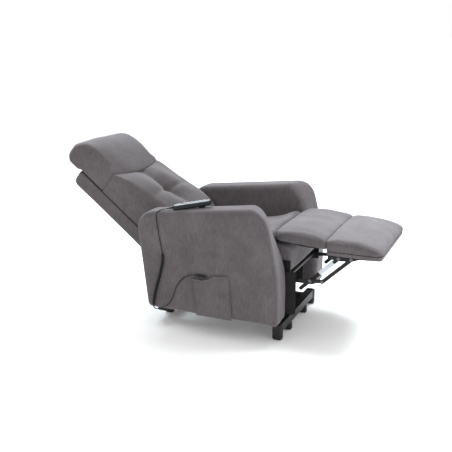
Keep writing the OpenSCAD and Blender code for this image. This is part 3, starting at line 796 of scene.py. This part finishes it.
def arm_shape(side):
    """The arm's front rim is crisp outside, at its seam, and turns in softly towards the seat."""
    def rim(p):
        outer, front = side * p[2] > 0, clamp((-p[0] / ARM_HALF[0] - 0.80) / 0.15, 0, 1)
        return 0.027 - 0.015 * front if outer else 0.028

    def shape(point):
        across, up, out = flat_slab(point, ARM_HALF, rim,
                                    (0.020, 0.016, FRONT_CORNER, REAR_CORNER))
        along = share_of(across, ARM_HALF[0])
        raised = share_of(up, ARM_HALF[1])
        z = ARM_LOW + raised * (arm_top(0.680 * along - 0.335) - ARM_LOW)
        front, rear = smooth_bend(ARM_FRONT, z), smooth_bend(ARM_REAR, z)
        inward = 0.5 - 0.5 * side * out / ARM_HALF[2]
        front += bend(ARM_TURN_IN, z) * inward ** 1.3 * clamp(1 - along / 0.4, 0, 1)
        y = front + along * (rear - front)
        face = abs(out) / ARM_HALF[2]
        bulge = 0.0035 * (1 - (2 * along - 1) ** 2) * (1 - (2 * raised - 1) ** 2)
        outer = side * out > 0
        if outer:
            crease = 0.4165 + 0.036 * along + 0.004 * math.sin(9 * along)
            fade = clamp((along - 0.04) / 0.15, 0, 1) * clamp((0.80 - along) / 0.2, 0, 1)
            bulge += groove(z - crease, 0.010, 0.0034) * fade
            bulge += 0.0022 * math.exp(-((z - crease - 0.02) / 0.018) ** 2) * fade
        depth = min(ARM_HALF[0] - abs(across), ARM_HALF[1] - abs(up))
        on_seam = along < 0.5 and raised > 0.02 or raised > 0.5
        if on_seam and outer:
            fade = clamp((0.40 - along) / 0.2, 0, 1)
            bulge += groove(depth - facing_depth(along), 0.0075, 0.0020) * fade
        bulge += ripple((y, z, side), 0.13, 0.0024, seed=side)
        bulge += ripple((y, z, side), 0.05, 0.0008)
        crown = 0.001 * (1 - (out / ARM_HALF[2]) ** 2) if raised > 0.6 else 0
        x = out + math.copysign(bulge * face ** 3, out)
        return Vector((side * ARM_X + x, y, z + crown * clamp((raised - 0.6) / 0.4, 0, 1)))
    return shape


def facing_path(face, count=150):
    """The facing seam on one face of the slab: up the front, round the corner, a little back."""
    out = []
    for k in range(count + 1):
        t = 0.62 * k / count
        if t < 0.36:
            spot = (-ARM_HALF[0], -ARM_HALF[1] * 0.98 + t / 0.36 * 0.40)
        elif t < 0.54:
            turn = math.radians(90 * (t - 0.36) / 0.18)
            spot = (FRONT_CORNER - ARM_HALF[0] - FRONT_CORNER * math.cos(turn),
                    ARM_HALF[1] - FRONT_CORNER + FRONT_CORNER * math.sin(turn))
        else:
            spot = (FRONT_CORNER - ARM_HALF[0] + (t - 0.54) / 0.46 * 0.50, ARM_HALF[1])
        core = (clamp(spot[0], FRONT_CORNER - ARM_HALF[0], 1),
                clamp(spot[1], -1, ARM_HALF[1] - FRONT_CORNER))
        away = Vector((spot[0] - core[0], spot[1] - core[1]))
        square = away - away.normalized() * facing_depth(share_of(spot[0], ARM_HALF[0]))
        if abs(square.x) > 1e-6 and abs(square.y) > 1e-6:
            square *= square.length / max(abs(square.x), abs(square.y))
        out.append((core[0] + square.x, core[1] + square.y, face * ARM_HALF[2]))
    return out


for side, word in ((-1, "right"), (1, "left")):
    arm = cushion(word + "_arm_cover", 44, arm_shape(side), velour_cover, "seat_unit",
                  [word + "_arm", word + "_arm_pad"])
    marks = on_cushion(arm, ARM_HALF, arm_shape(side), facing_path(side))
    seam_line(word + "_arm_facing_seam", marks, "seat_unit")
    print(arm.name, len(arm.data.polygons), "faces")

# %% [markdown]
# ## The side pocket
# The pocket is one more layer of the cover, sewn to the arm at both sides and its bottom. Its
# hemmed mouth hangs a little open and sags, and the slack falls in soft upright pleats.

# %% Pocket
POCKET_TOP = [(-0.136, 0.324), (-0.060, 0.315), (-0.034, 0.297), (-0.008, 0.289),
              (0.034, 0.289), (0.058, 0.288)]
POCKET_LOW = 0.1085
POCKET_HALF = (0.100, 0.095, 0.0032)


def pocket_shape(point):
    across, up, out = flat_slab(point, POCKET_HALF, (0.0026, 0.0030), (0.006, 0.006, 0.004, 0.004))
    along = share_of(across, POCKET_HALF[0])
    raised = share_of(up, POCKET_HALF[1])
    front = -0.151 + 0.015 * raised
    rear = 0.030 + 0.014 * raised + 0.014 * raised ** 3
    y = front + along * (rear - front)
    z = POCKET_LOW + raised * (bend(POCKET_TOP, y) - POCKET_LOW)
    middle = math.sin(math.pi * along)
    open_mouth = 0.0055 * raised ** 4 * middle
    pleats = (0.0062 * math.exp(-((along - 0.70 - 0.10 * (1 - raised)) / 0.05) ** 2)
              + 0.0052 * math.exp(-((along - 0.47 - 0.06 * (1 - raised)) / 0.035) ** 2)
              - 0.0016 * math.exp(-((along - 0.60) / 0.04) ** 2)
              + 0.0030 * math.exp(-((along - 0.22) / 0.07) ** 2)) * raised ** 0.7 * middle ** 0.5
    hem = groove(raised - 0.93, 0.012, 0.0007)
    slack = ripple((y, z, 0.3), 0.05, 0.0018) * middle ** 0.5
    lay = 0.3745 + open_mouth + pleats + slack + hem
    return Vector((-lay - out, y, z))


pocket = cushion("side_pocket_cover", 40, pocket_shape, velour_cover, "seat_unit",
                 ["side_pocket"])
for edge_word, spots in (
        ("front", line_of((-0.0955, -0.094, 0.0032), (-0.0955, 0.091, 0.0032), 40)),
        ("rear", line_of((0.0955, -0.094, 0.0032), (0.0955, 0.091, 0.0032), 40)),
        ("hem", line_of((-0.094, 0.081, 0.0032), (0.094, 0.081, 0.0032), 50))):
    marks = on_cushion(pocket, POCKET_HALF, pocket_shape, spots)
    seam_line("side_pocket_" + edge_word + "_seam", marks, "seat_unit", 0.0007)
print(pocket.name, len(pocket.data.polygons), "faces")

# %% [markdown]
# ## The seat
# The seat cushion is a foam block with a crown, higher at its front where it hands over to
# the calf pad. Below it a padded rail closes the seat's front.

# %% Seat cushion and front rail
SEAT_HALF = (0.231, 0.210, 0.080)
SEAT_TOP = [(-0.298, 0.516), (-0.250, 0.506), (-0.200, 0.486), (-0.150, 0.474),
            (-0.060, 0.460), (0.120, 0.448)]
SEAT_LOW = 0.3295


def seat_shape(point):
    x, along, up = flat_slab(point, SEAT_HALF, (0.012, 0.034), (0.030, 0.030, 0.012, 0.012))
    y = -0.088 + along
    raised = share_of(up, SEAT_HALF[2])
    z = SEAT_LOW + raised * (smooth_bend(SEAT_TOP, y) - SEAT_LOW)
    if raised > 0.5:
        share = (raised - 0.5) * 2
        z += share * (0.008 * (1 - (x / SEAT_HALF[0]) ** 2) + ripple((x, y, 0), 0.11, 0.004))
    return Vector((x, y, z))


seat = cushion("seat_cushion_cover", 34, seat_shape, velour_cover, "seat_unit",
               ["seat_cushion"])

RAIL_HALF = (0.041, 0.062, 0.229)


def rail_shape(point):
    across, up, x = flat_slab(point, RAIL_HALF, (0.014, 0.014), (0.036, 0.010, 0.040, 0.010))
    y, z = -0.3425 + across, 0.400 + up
    z += 0.3 * (y + 0.30) * clamp((0.40 - z) / 0.06, 0, 1)
    swell = 0.0025 * math.cos(clamp(x / RAIL_HALF[2], -1, 1) * math.pi / 2)
    swell += ripple((x, y, z), 0.09, 0.0025)
    return Vector((x, y - swell * clamp((-0.33 - y) / 0.04, 0, 1), z))


front_rail = cushion("seat_front_cover", 30, rail_shape, velour_cover, "seat_unit",
                     ["seat_front_rail"])
print(seat.name, front_rail.name)

# %% [markdown]
# ## The back
# The back is drawn in its own lines: u runs up it from the hinge and v stands out of its face.
# A button-less tuft pulls the lumbar cushion in, on its centre line. From it a valley runs up
# and down, and shorter creases run to the sides, so four soft lobes stand round it. The head
# pillow hangs over the cushion in a smile-shaped seam and rolls over the top of the shell.

# %% Back frame of reference
BACK_HINGE = Vector((0, 0.170, 0.400))
BACK_ANGLE = math.radians(38.6)
BACK_HALF = 0.225
UP_BACK = Vector((0, math.cos(BACK_ANGLE), math.sin(BACK_ANGLE)))
OUT_OF_BACK = Vector((0, -math.sin(BACK_ANGLE), math.cos(BACK_ANGLE)))


def back_point(x, u, v):
    return BACK_HINGE + Vector((x, 0, 0)) + UP_BACK * u + OUT_OF_BACK * v


def smile(x):
    """How far the head seam hangs towards the seat at x."""
    return 0.038 * (1 - (x / BACK_HALF) ** 2)


# %% Lumbar cushion
TUFT_U = 0.290
LUMBAR_TOP = [(0.046, 0.052), (0.085, 0.064), (0.130, 0.072), (0.190, 0.070), (0.270, 0.055),
              (0.340, 0.044), (0.400, 0.035), (0.450, 0.023), (0.496, 0.010)]
LUMBAR_LOW = -0.107
LUMBAR_HALF = (BACK_HALF, 0.225, 0.080)
LUMBAR_RIMS = rims(0.005, 0.036, 0.009, 1, LUMBAR_HALF)


def lumbar_shape(point):
    x, along, up = flat_slab(point, LUMBAR_HALF, LUMBAR_RIMS, (0.012, 0.012, 0.010, 0.010))
    share = share_of(along, LUMBAR_HALF[1])
    end = 0.4975 - smile(x)
    u = 0.046 + share * (end - 0.046)
    raised = share_of(up, LUMBAR_HALF[2])
    top = smooth_bend(LUMBAR_TOP, 0.046 + share * 0.450)
    v = LUMBAR_LOW + raised * (top - LUMBAR_LOW)
    lift = clamp((raised - 0.45) / 0.4, 0, 1)
    reach = math.hypot(x, u - TUFT_U)
    near = math.exp(-(reach / 0.13) ** 2)
    lobes = 0.019 * (1 - math.exp(-(x / 0.05) ** 2)) * math.exp(-((abs(x) - 0.09) / 0.09) ** 2)
    lobes *= math.exp(-((u - TUFT_U) / 0.17) ** 2)
    valley = groove(x, 0.020, 0.015) * math.exp(-((u - TUFT_U) / 0.15) ** 2)
    creases = groove(u - TUFT_U + 0.10 * abs(x), 0.015, 0.013) * math.exp(-(abs(x) / 0.13) ** 2)
    tuft = -0.018 * math.exp(-(reach / 0.017) ** 2) - 0.006 * near
    v += lift * (lobes + valley + creases + tuft + 0.005 * (1 - (x / BACK_HALF) ** 2))
    v += lift * ripple((x, u, 0), 0.10, 0.0035)
    side = clamp((abs(x) - 0.19) / 0.035, 0, 1)
    x += math.copysign(side * ripple((u, v, x), 0.09, 0.003), x)
    return back_point(x, u, v)


def lumbar_held(place):
    """Held along the tuft's valley and creases and at the sewn rims, loose on the lobes."""
    rel = place - BACK_HINGE
    u, v, x = rel.dot(UP_BACK), rel.dot(OUT_OF_BACK), place.x
    reach = math.hypot(x, u - TUFT_U)
    tight = max(math.exp(-(reach / 0.03) ** 2),
                0.75 * math.exp(-(x / 0.018) ** 2) * math.exp(-((u - TUFT_U) / 0.16) ** 2),
                0.6 * math.exp(-((u - TUFT_U) / 0.018) ** 2) * math.exp(-(x / 0.12) ** 2))
    if v < -0.055 or u < 0.07 or u > 0.475 - smile(x):
        tight = 1.0
    return max(tight, 0.15)


lumbar = cushion("lumbar_cushion_cover", 52, lumbar_shape, velour_cover, "backrest",
                 ["lumbar_cushion"], held=lumbar_held)
print(lumbar.name, len(lumbar.data.polygons), "faces")

# %% Head pillow
HEAD_TOP = [(0.498, 0.012), (0.530, 0.019), (0.580, 0.024), (0.640, 0.026), (0.690, 0.020),
            (0.735, 0.002), (0.774, -0.030)]
HEAD_LOW = [(0.460, -0.107), (0.655, -0.107), (0.668, -0.118), (0.730, -0.118), (0.774, -0.096)]
HEAD_HALF = (BACK_HALF, 0.138, 0.066)
HEAD_RIMS = rims(0.012, 0.042, 0.011, -1, HEAD_HALF)


def head_shape(point):
    x, along, up = flat_slab(point, HEAD_HALF, HEAD_RIMS, (0.012, 0.012, 0.060, 0.060))
    share = share_of(along, HEAD_HALF[1])
    start = 0.4945 - smile(x)
    u = start + share * (0.772 - start)
    base_u = 0.498 + share * 0.276
    raised = share_of(up, HEAD_HALF[2])
    top, low = smooth_bend(HEAD_TOP, base_u), bend(HEAD_LOW, u)
    v = low + raised * (top - low)
    lift = clamp((raised - 0.45) / 0.4, 0, 1)
    v += lift * (0.006 * (1 - (x / BACK_HALF) ** 2) + ripple((x, u, 2), 0.12, 0.004))
    u += lift * 0.002 * math.cos(20 * x)
    return back_point(x, u, v)


def head_held(place):
    rel = place - BACK_HINGE
    u, v = rel.dot(UP_BACK), rel.dot(OUT_OF_BACK)
    return 1.0 if v < -0.06 or u < 0.52 - smile(place.x) else 0.2


head = cushion("head_pillow_cover", 40, head_shape, velour_cover, "backrest",
               ["head_pillow"], held=head_held)
for x_side, word in ((-1, "right"), (1, "left")):
    rim = x_side * BACK_HALF
    path = line_of((rim, -0.12, -0.012), (rim, 0.115, -0.012), 40)
    seam_line("head_pillow_%s_seam" % word, on_cushion(head, HEAD_HALF, head_shape, path),
              "backrest")
    path = line_of((rim, -0.21, -0.022), (rim, 0.21, -0.022), 40)
    seam_line("lumbar_%s_seam" % word, on_cushion(lumbar, LUMBAR_HALF, lumbar_shape, path),
              "backrest")
print(head.name, len(head.data.polygons), "faces")

# %% [markdown]
# ## The back's shell and the black cloth behind the cushions
# A shell of board and thin foam closes the back. Its cover is pulled tight, with a seam along
# each side. Between shell and cushions the steel frame is wrapped in black lining cloth. The thin
# dark line it gives along the whole back is partly that cloth and partly painted shade for the
# shadowed gap between shell and cushions.

# %% Back shell and lining
SHELL_HALF = (BACK_HALF, 0.3285, 0.040)


def shell_shape(point):
    x, along, out = flat_slab(point, SHELL_HALF, (0.022, 0.005), (0.014, 0.014, 0.030, 0.030))
    u = 0.3285 + along
    v = -0.152 + out
    end = clamp((u - 0.625) / 0.032, 0, 1)
    v = -0.150 + (v + 0.150) * (1 - 0.30 * end ** 2)
    if v < -0.17:
        v -= 0.005 * (1 - (x / BACK_HALF) ** 2) * (1 - (along / SHELL_HALF[1]) ** 2)
        v += ripple((x, u, 5), 0.16, 0.0022) + groove(u - 0.33, 0.006, 0.002)
    side = clamp((abs(x) - 0.20) / 0.025, 0, 1)
    return back_point(x + math.copysign(side * ripple((u, v, x), 0.12, 0.002), x), u, v)


shell = cushion("back_shell_cover", 34, shell_shape, velour_cover, "backrest",
                ["back_shell"])
for name, path in (
        ("back_shell_middle_seam", line_of((-0.215, 0.0015, -0.040), (0.215, 0.0015, -0.040), 60)),
        ("back_shell_right_seam", line_of((-0.205, -0.31, -0.040), (-0.205, 0.31, -0.040), 60)),
        ("back_shell_left_seam", line_of((0.205, -0.31, -0.040), (0.205, 0.31, -0.040), 60))):
    seam_line(name, on_cushion(shell, SHELL_HALF, shell_shape, path), "backrest")

LINING_HALF = (0.2165, 0.318, 0.0060)


def lining_shape(point):
    x, along, out = flat_slab(point, LINING_HALF, (0.004, 0.004), (0.01, 0.01, 0.01, 0.01))
    return back_point(x, 0.334 + along, -0.1085 + out)


# A black slab in place of the frame: partly lining cloth, partly painted shade for the gap between
# shell and cushions.
lining_and_gap_shade = cushion("back_frame_lining_and_gap_shade", 16, lining_shape, lining, "backrest",
                       ["back_frame"])
print(shell.name, lining_and_gap_shade.name)

# %% [markdown]
# ## The black cloth between seat and back
# Where the back hinges, a flap on the seat and an apron on the shell hide the floor. The apron
# is an arc round the hinge, so it slides past under the flap as the back rises.

# %% Hinge flap and apron
FLAP_HALF = (0.207, 0.060, 0.003)
FLAP_FRONT = 0.112
APRON_HALF = (0.207, 0.050, 0.003)
APRON_RADIUS = 0.112
APRON_START = math.radians(-50)


def flap_shape(point):
    x, along, up = flat_slab(point, FLAP_HALF, (0.002, 0.002), (0.008, 0.008, 0.008, 0.008))
    share = share_of(along, FLAP_HALF[1])
    z = 0.346 - 0.034 * share - 0.048 * share * (1 - share) + up
    y = FLAP_FRONT + 0.116 * share
    return Vector((x, y, z + ripple((x, y, 9), 0.06, 0.002)))


def apron_shape(point):
    x, along, up = flat_slab(point, APRON_HALF, (0.002, 0.002), (0.008, 0.008, 0.008, 0.008))
    turn = APRON_START - (along + APRON_HALF[1]) / APRON_RADIUS
    reach = APRON_RADIUS + up + ripple((x, turn, 5), 0.06, 0.0012)
    return BACK_HINGE + Vector((x, reach * math.cos(turn), reach * math.sin(turn)))


flap = cushion("seat_gap_lining", 20, flap_shape, lining, "seat_unit",
               [])
apron = cushion("back_gap_lining", 20, apron_shape, lining, "backrest",
                [])
print(flap.name, apron.name)

# %% [markdown]
# ## The leg rest
# Two pads share one cover: the foot pad lies on a board, and the calf pad bridges from the
# board to the seat. The calf pad has no frame below it, so it folds when the leg rest goes in.
# A row of topstitches follows the welt at the rims, and a deep crease parts the two pads.

# %% Foot board and foot pad
BOARD_HALF = (0.250, 0.1255, 0.009)


def board_shape(point):
    x, along, up = flat_slab(point, BOARD_HALF, (0.006, 0.003), (0.020, 0.020, 0.008, 0.008))
    y = -0.6805 + along
    return Vector((x, y, 0.450 + up + ripple((x, y, 9), 0.1, 0.0008)))


board = cushion("foot_board_cover", 20, board_shape, velour_cover, "footrest",
                ["foot_board"])

FOOT_TOP = [(-0.808, 0.484), (-0.793, 0.494), (-0.759, 0.506), (-0.720, 0.516), (-0.679, 0.521),
            (-0.592, 0.523), (-0.555, 0.516)]
FOOT_HALF = (0.250, 0.1275, 0.028)
FOOT_RIMS = rims(0.008, 0.022, 0.009, 1, FOOT_HALF)


def leg_crown(x, share):
    return 0.007 * (1 - (x / 0.25) ** 4) * share


def foot_shape(point):
    x, along, up = flat_slab(point, FOOT_HALF, FOOT_RIMS, (0.030, 0.030, 0.010, 0.010))
    y = -0.6805 + along
    raised = share_of(up, FOOT_HALF[2])
    top = smooth_bend(FOOT_TOP, y) - 0.008
    low = 0.4595 + 0.004 * clamp((-0.78 - y) / 0.02, 0, 1)
    z = low + raised * (top - low)
    z += leg_crown(x, clamp((raised - 0.4) / 0.5, 0, 1))
    z += clamp((raised - 0.5) / 0.3, 0, 1) * ripple((x, y, 3), 0.09, 0.0035)
    return Vector((x, y, z))


def leg_held(place):
    rim = min(0.250 - abs(place.x), place.y + 0.808)
    return 1.0 if place.z < 0.474 else 1 - 0.85 * clamp((rim - 0.012) / 0.03, 0, 1)


foot = cushion("foot_pad_cover", 40, foot_shape, velour_cover, "footrest",
               ["foot_pad"], held=leg_held, cap=0.007)


for x_side, word in ((-1, "right"), (1, "left")):
    path = line_of((x_side * 0.250, -0.100, 0.008), (x_side * 0.250, 0.115, 0.008), 60)
    marks = on_cushion(foot, FOOT_HALF, foot_shape, path)
    seam_line("foot_pad_%s_welt" % word, marks, "footrest", 0.0013)
    stitch_row("foot_pad_%s_stitches" % word, marks, "footrest", 0.004 * x_side)
path = line_of((-0.215, -0.1265, 0.006), (0.215, -0.1265, 0.006), 80)
marks = on_cushion(foot, FOOT_HALF, foot_shape, path)
seam_line("foot_pad_front_welt", marks, "footrest", 0.0013)
stitch_row("foot_pad_front_stitches", marks, "footrest", 0.004)
print(board.name, foot.name, len(foot.data.polygons), "faces")

# %% Calf pad
CALF_TOP = [(-0.551, 0.514), (-0.530, 0.523), (-0.504, 0.529), (-0.470, 0.533), (-0.432, 0.536),
            (-0.354, 0.532), (-0.3015, 0.521)]
CALF_LOW = [(-0.551, 0.466), (-0.3015, 0.484)]
CALF_HALF = (0.250, 0.1255, 0.030)
CALF_RIMS = rims(0.010, 0.022, 0.009, -1, CALF_HALF)


def calf_width(y):
    """The pad is narrow between the arms and as wide as the foot pad in front of them."""
    t = clamp((-0.312 - y) / 0.024, 0, 1)
    return 0.226 + 0.024 * eased(t)


def calf_shape(point):
    x, along, up = flat_slab(point, CALF_HALF, CALF_RIMS, (0.010, 0.010, 0.012, 0.012))
    y = -0.427 + along
    x *= calf_width(y) / CALF_HALF[0]
    raised = share_of(up, CALF_HALF[2])
    top, low = smooth_bend(CALF_TOP, y) - 0.006, bend(CALF_LOW, y)
    z = low + raised * (top - low) + leg_crown(x, clamp((raised - 0.4) / 0.5, 0, 1))
    z += clamp((raised - 0.5) / 0.3, 0, 1) * ripple((x, y, 4), 0.09, 0.004)
    return Vector((x, y, z))


def calf_held(place):
    rim = min(calf_width(place.y) - abs(place.x), place.y + 0.551, -0.3015 - place.y)
    return 1.0 if place.z < 0.492 else 1 - 0.85 * clamp((rim - 0.012) / 0.03, 0, 1)


calf = cushion("calf_pad_cover", 40, calf_shape, velour_cover, "calf_rest",
               ["calf_pad"], held=calf_held, cap=0.007)
calf_pieces = [calf]
for x_side, word in ((-1, "right"), (1, "left")):
    path = line_of((x_side * 0.250, -0.115, 0.008), (x_side * 0.250, 0.100, 0.008), 60)
    marks = on_cushion(calf, CALF_HALF, calf_shape, path)
    calf_pieces += [seam_line("calf_pad_%s_welt" % word, marks, "calf_rest", 0.0013),
                    stitch_row("calf_pad_%s_stitches" % word, marks, "calf_rest",
                               0.004 * x_side)]
print(calf.name, len(calf.data.polygons), "faces")

# %% [markdown]
# ## The black cloth beside the mechanism
# A stapled lining cloth closes the gap between the arm box and the leg mechanism, so that nothing
# catches on it.
# Each sheet is partly that real cloth and partly painted shade: a black sheet where the space
# under the seat lies in deep shade, and the right one starts further forward than the left. Each
# hangs from the seat rail in shallow folds.

# %% Mechanism lining
CLOTH_HALF = (0.135, 0.105, 0.0011)


def shade_cloth_shape(side, start):
    def shape(point):
        across, up, out = flat_slab(point, CLOTH_HALF, (0.001, 0.001),
                                    (0.012, 0.006, 0.004, 0.004))
        y, z = start + CLOTH_HALF[0] + across, 0.232 + up
        return Vector((side * (0.2352 + 0.0007 * math.sin(55 * y + 9 * z)) + out, y, z))
    return shape


# Black sheets, partly real lining and partly painted shade for the dark space under the seat; the
# right one starts further forward.
for side, word, start in ((-1, "right", -0.414), (1, "left", -0.300)):
    cloth = grid_cube("mechanism_lining_and_shade_" + word, 30)
    mould(cloth, shade_cloth_shape(side, start))
    finish(cloth, lining, "seat_unit")
    print(cloth.name)

# %% [markdown]
# ## The lining under the calf pad
# The calf pad has no board. Its underside is a loose black lining, which sags between the foot
# board and the seat.

# %% Calf lining
SAG_HALF = (0.224, 0.066, 0.006)


def sag_shape(point):
    x, along, up = flat_slab(point, SAG_HALF, (0.006, 0.004), (0.012, 0.012, 0.012, 0.012))
    y = -0.456 + along
    belly = 0.006 * (1 - (along / SAG_HALF[1]) ** 2) if up < 0 else 0
    return Vector((x, y, bend(CALF_LOW, y) - 0.003 + up - belly + ripple((x, y, 7), 0.05, 0.002)))


sag = cushion("calf_lining", 24, sag_shape, lining, "calf_rest", [])
calf_pieces.append(sag)

# %% [markdown]
# ## The calf pad's own meshes
# When the leg rest goes in, the calf pad has less room and its cover crumples. Each piece of
# the calf pad, with its welts, stitches and lining, gets a mesh of its own.

# %% Calf pad meshes
for piece in calf_pieces:
    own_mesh(piece)
print("folding pieces:", len(calf_pieces))

# %% [markdown]
# ## The handset
# The CAD shell has sharp rims. Its mesh is copied, its doubles are merged, and its outer rims
# get a round edge, as two moulded halves have. A thin parting line runs round its middle.

# %% Handset
def copy_of(node, name):
    """A CAD node's mesh as a new piece, with its loose triangles joined and flat faces whole."""
    piece = bpy.data.objects.new(name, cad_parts[node].data.copy())
    bpy.context.collection.objects.link(piece)
    take(piece)
    bpy.ops.object.mode_set(mode="EDIT")
    bpy.ops.mesh.select_all(action="SELECT")
    bpy.ops.mesh.remove_doubles(threshold=0.00002)
    bpy.ops.mesh.dissolve_limited(angle_limit=math.radians(2))
    bpy.ops.object.mode_set(mode="OBJECT")
    return piece


def on_rim(place):
    p = handset_place.inverted() @ place
    reach = math.hypot(p.x, max(abs(p.y) - (HANDSET_L - HANDSET_W) / 2, 0))
    return abs(reach - HANDSET_W / 2) < 0.0003 and min(abs(p.z), abs(p.z - HANDSET_T)) < 0.0003


handset = copy_of("handset_shell", "handset_body")
rim_edges = [e.index for e in handset.data.edges
             if all(on_rim(handset.data.vertices[k].co) for k in e.vertices)]
bpy.ops.object.mode_set(mode="EDIT")
bpy.ops.mesh.select_mode(type="EDGE")
bpy.ops.mesh.select_all(action="DESELECT")
bpy.ops.object.mode_set(mode="OBJECT")
for number in rim_edges:
    handset.data.edges[number].select = True
bpy.ops.object.mode_set(mode="EDIT")
bpy.ops.mesh.bevel(offset=0.0062, offset_pct=0, segments=5, affect="EDGES")
bpy.ops.object.mode_set(mode="OBJECT")
finish(handset, handset_abs, "seat_unit", ["handset_shell"], smooth=35)
outline = []
for k in range(96):
    turn = 2 * math.pi * k / 96
    x, y = math.cos(turn) * HANDSET_W / 2, math.sin(turn) * HANDSET_W / 2
    y += math.copysign((HANDSET_L - HANDSET_W) / 2, math.sin(turn) or 1)
    outline.append(handset_place @ Vector((x, y, HANDSET_T / 2)))
outline.append(outline[0])
parting = curve_piece("handset_parting_line", outline, 0.0004, 1)
parting.data.materials.append(lead_pvc)
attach(parting, "seat_unit")
print("handset rims rounded:", len(rim_edges), "edges")

# %% [markdown]
# ## Feet and sleeve
# The feet are moulded blocks with generous round edges, which also cap the open tube ends. A
# pale plastic sleeve stops the leg rest's bar from rattling.

# %% Feet and sleeve
def blocks_of(node):
    """The lowest and highest corners of each separate solid of a CAD node."""
    piece = copy_of(node, "measuring_copy")
    mesh = piece.data
    group = list(range(len(mesh.vertices)))

    def root(k):
        while group[k] != k:
            k = group[k]
        return k

    for edge in mesh.edges:
        group[root(edge.vertices[0])] = root(edge.vertices[1])
    sets = {}
    for vertex in mesh.vertices:
        sets.setdefault(root(vertex.index), []).append(vertex.co.copy())
    bpy.data.objects.remove(piece)
    return [(Vector(min(p[k] for p in ps) for k in range(3)),
             Vector(max(p[k] for p in ps) for k in range(3))) for ps in sets.values()]


for name, node, edge in (("moulded_end_feet", "base_end_feet", 0.011),
                         ("moulded_middle_feet", "base_middle_feet", 0.007)):
    blocks = []
    for low, high in blocks_of(node):
        start_clean()
        bpy.ops.mesh.primitive_cube_add(size=1, location=(low + high) / 2)
        blocks.append(bpy.context.object)
        blocks[-1].scale = high - low
        settle(blocks[-1])
        bevel_all(min(edge, 0.45 * min(high - low)), 5)
    finish(join(blocks, name), moulded_abs, "base", [node])
    print(name, "from", len(blocks), "blocks")

SUPPORT_LOW = Vector((-0.210, -0.475, 0.299))
SUPPORT_HIGH = Vector((-0.210, -0.605, 0.422))
start_clean()
bpy.ops.mesh.primitive_cube_add(size=1)
sleeve = bpy.context.object
sleeve.name = "support_bar_sleeve"
sleeve.scale = (0.0066, 0.0215, (SUPPORT_HIGH - SUPPORT_LOW).length * 0.48)
settle(sleeve)
bevel_all(0.0016, 3)
sleeve_tilt = math.atan2(SUPPORT_HIGH.y - SUPPORT_LOW.y, SUPPORT_HIGH.z - SUPPORT_LOW.z)
sleeve.matrix_basis = (Matrix.Translation(SUPPORT_LOW.lerp(SUPPORT_HIGH, 0.565))
                       @ Matrix.Rotation(-sleeve_tilt, 4, "X"))
finish(sleeve, sleeve_pvc, "leg_support")
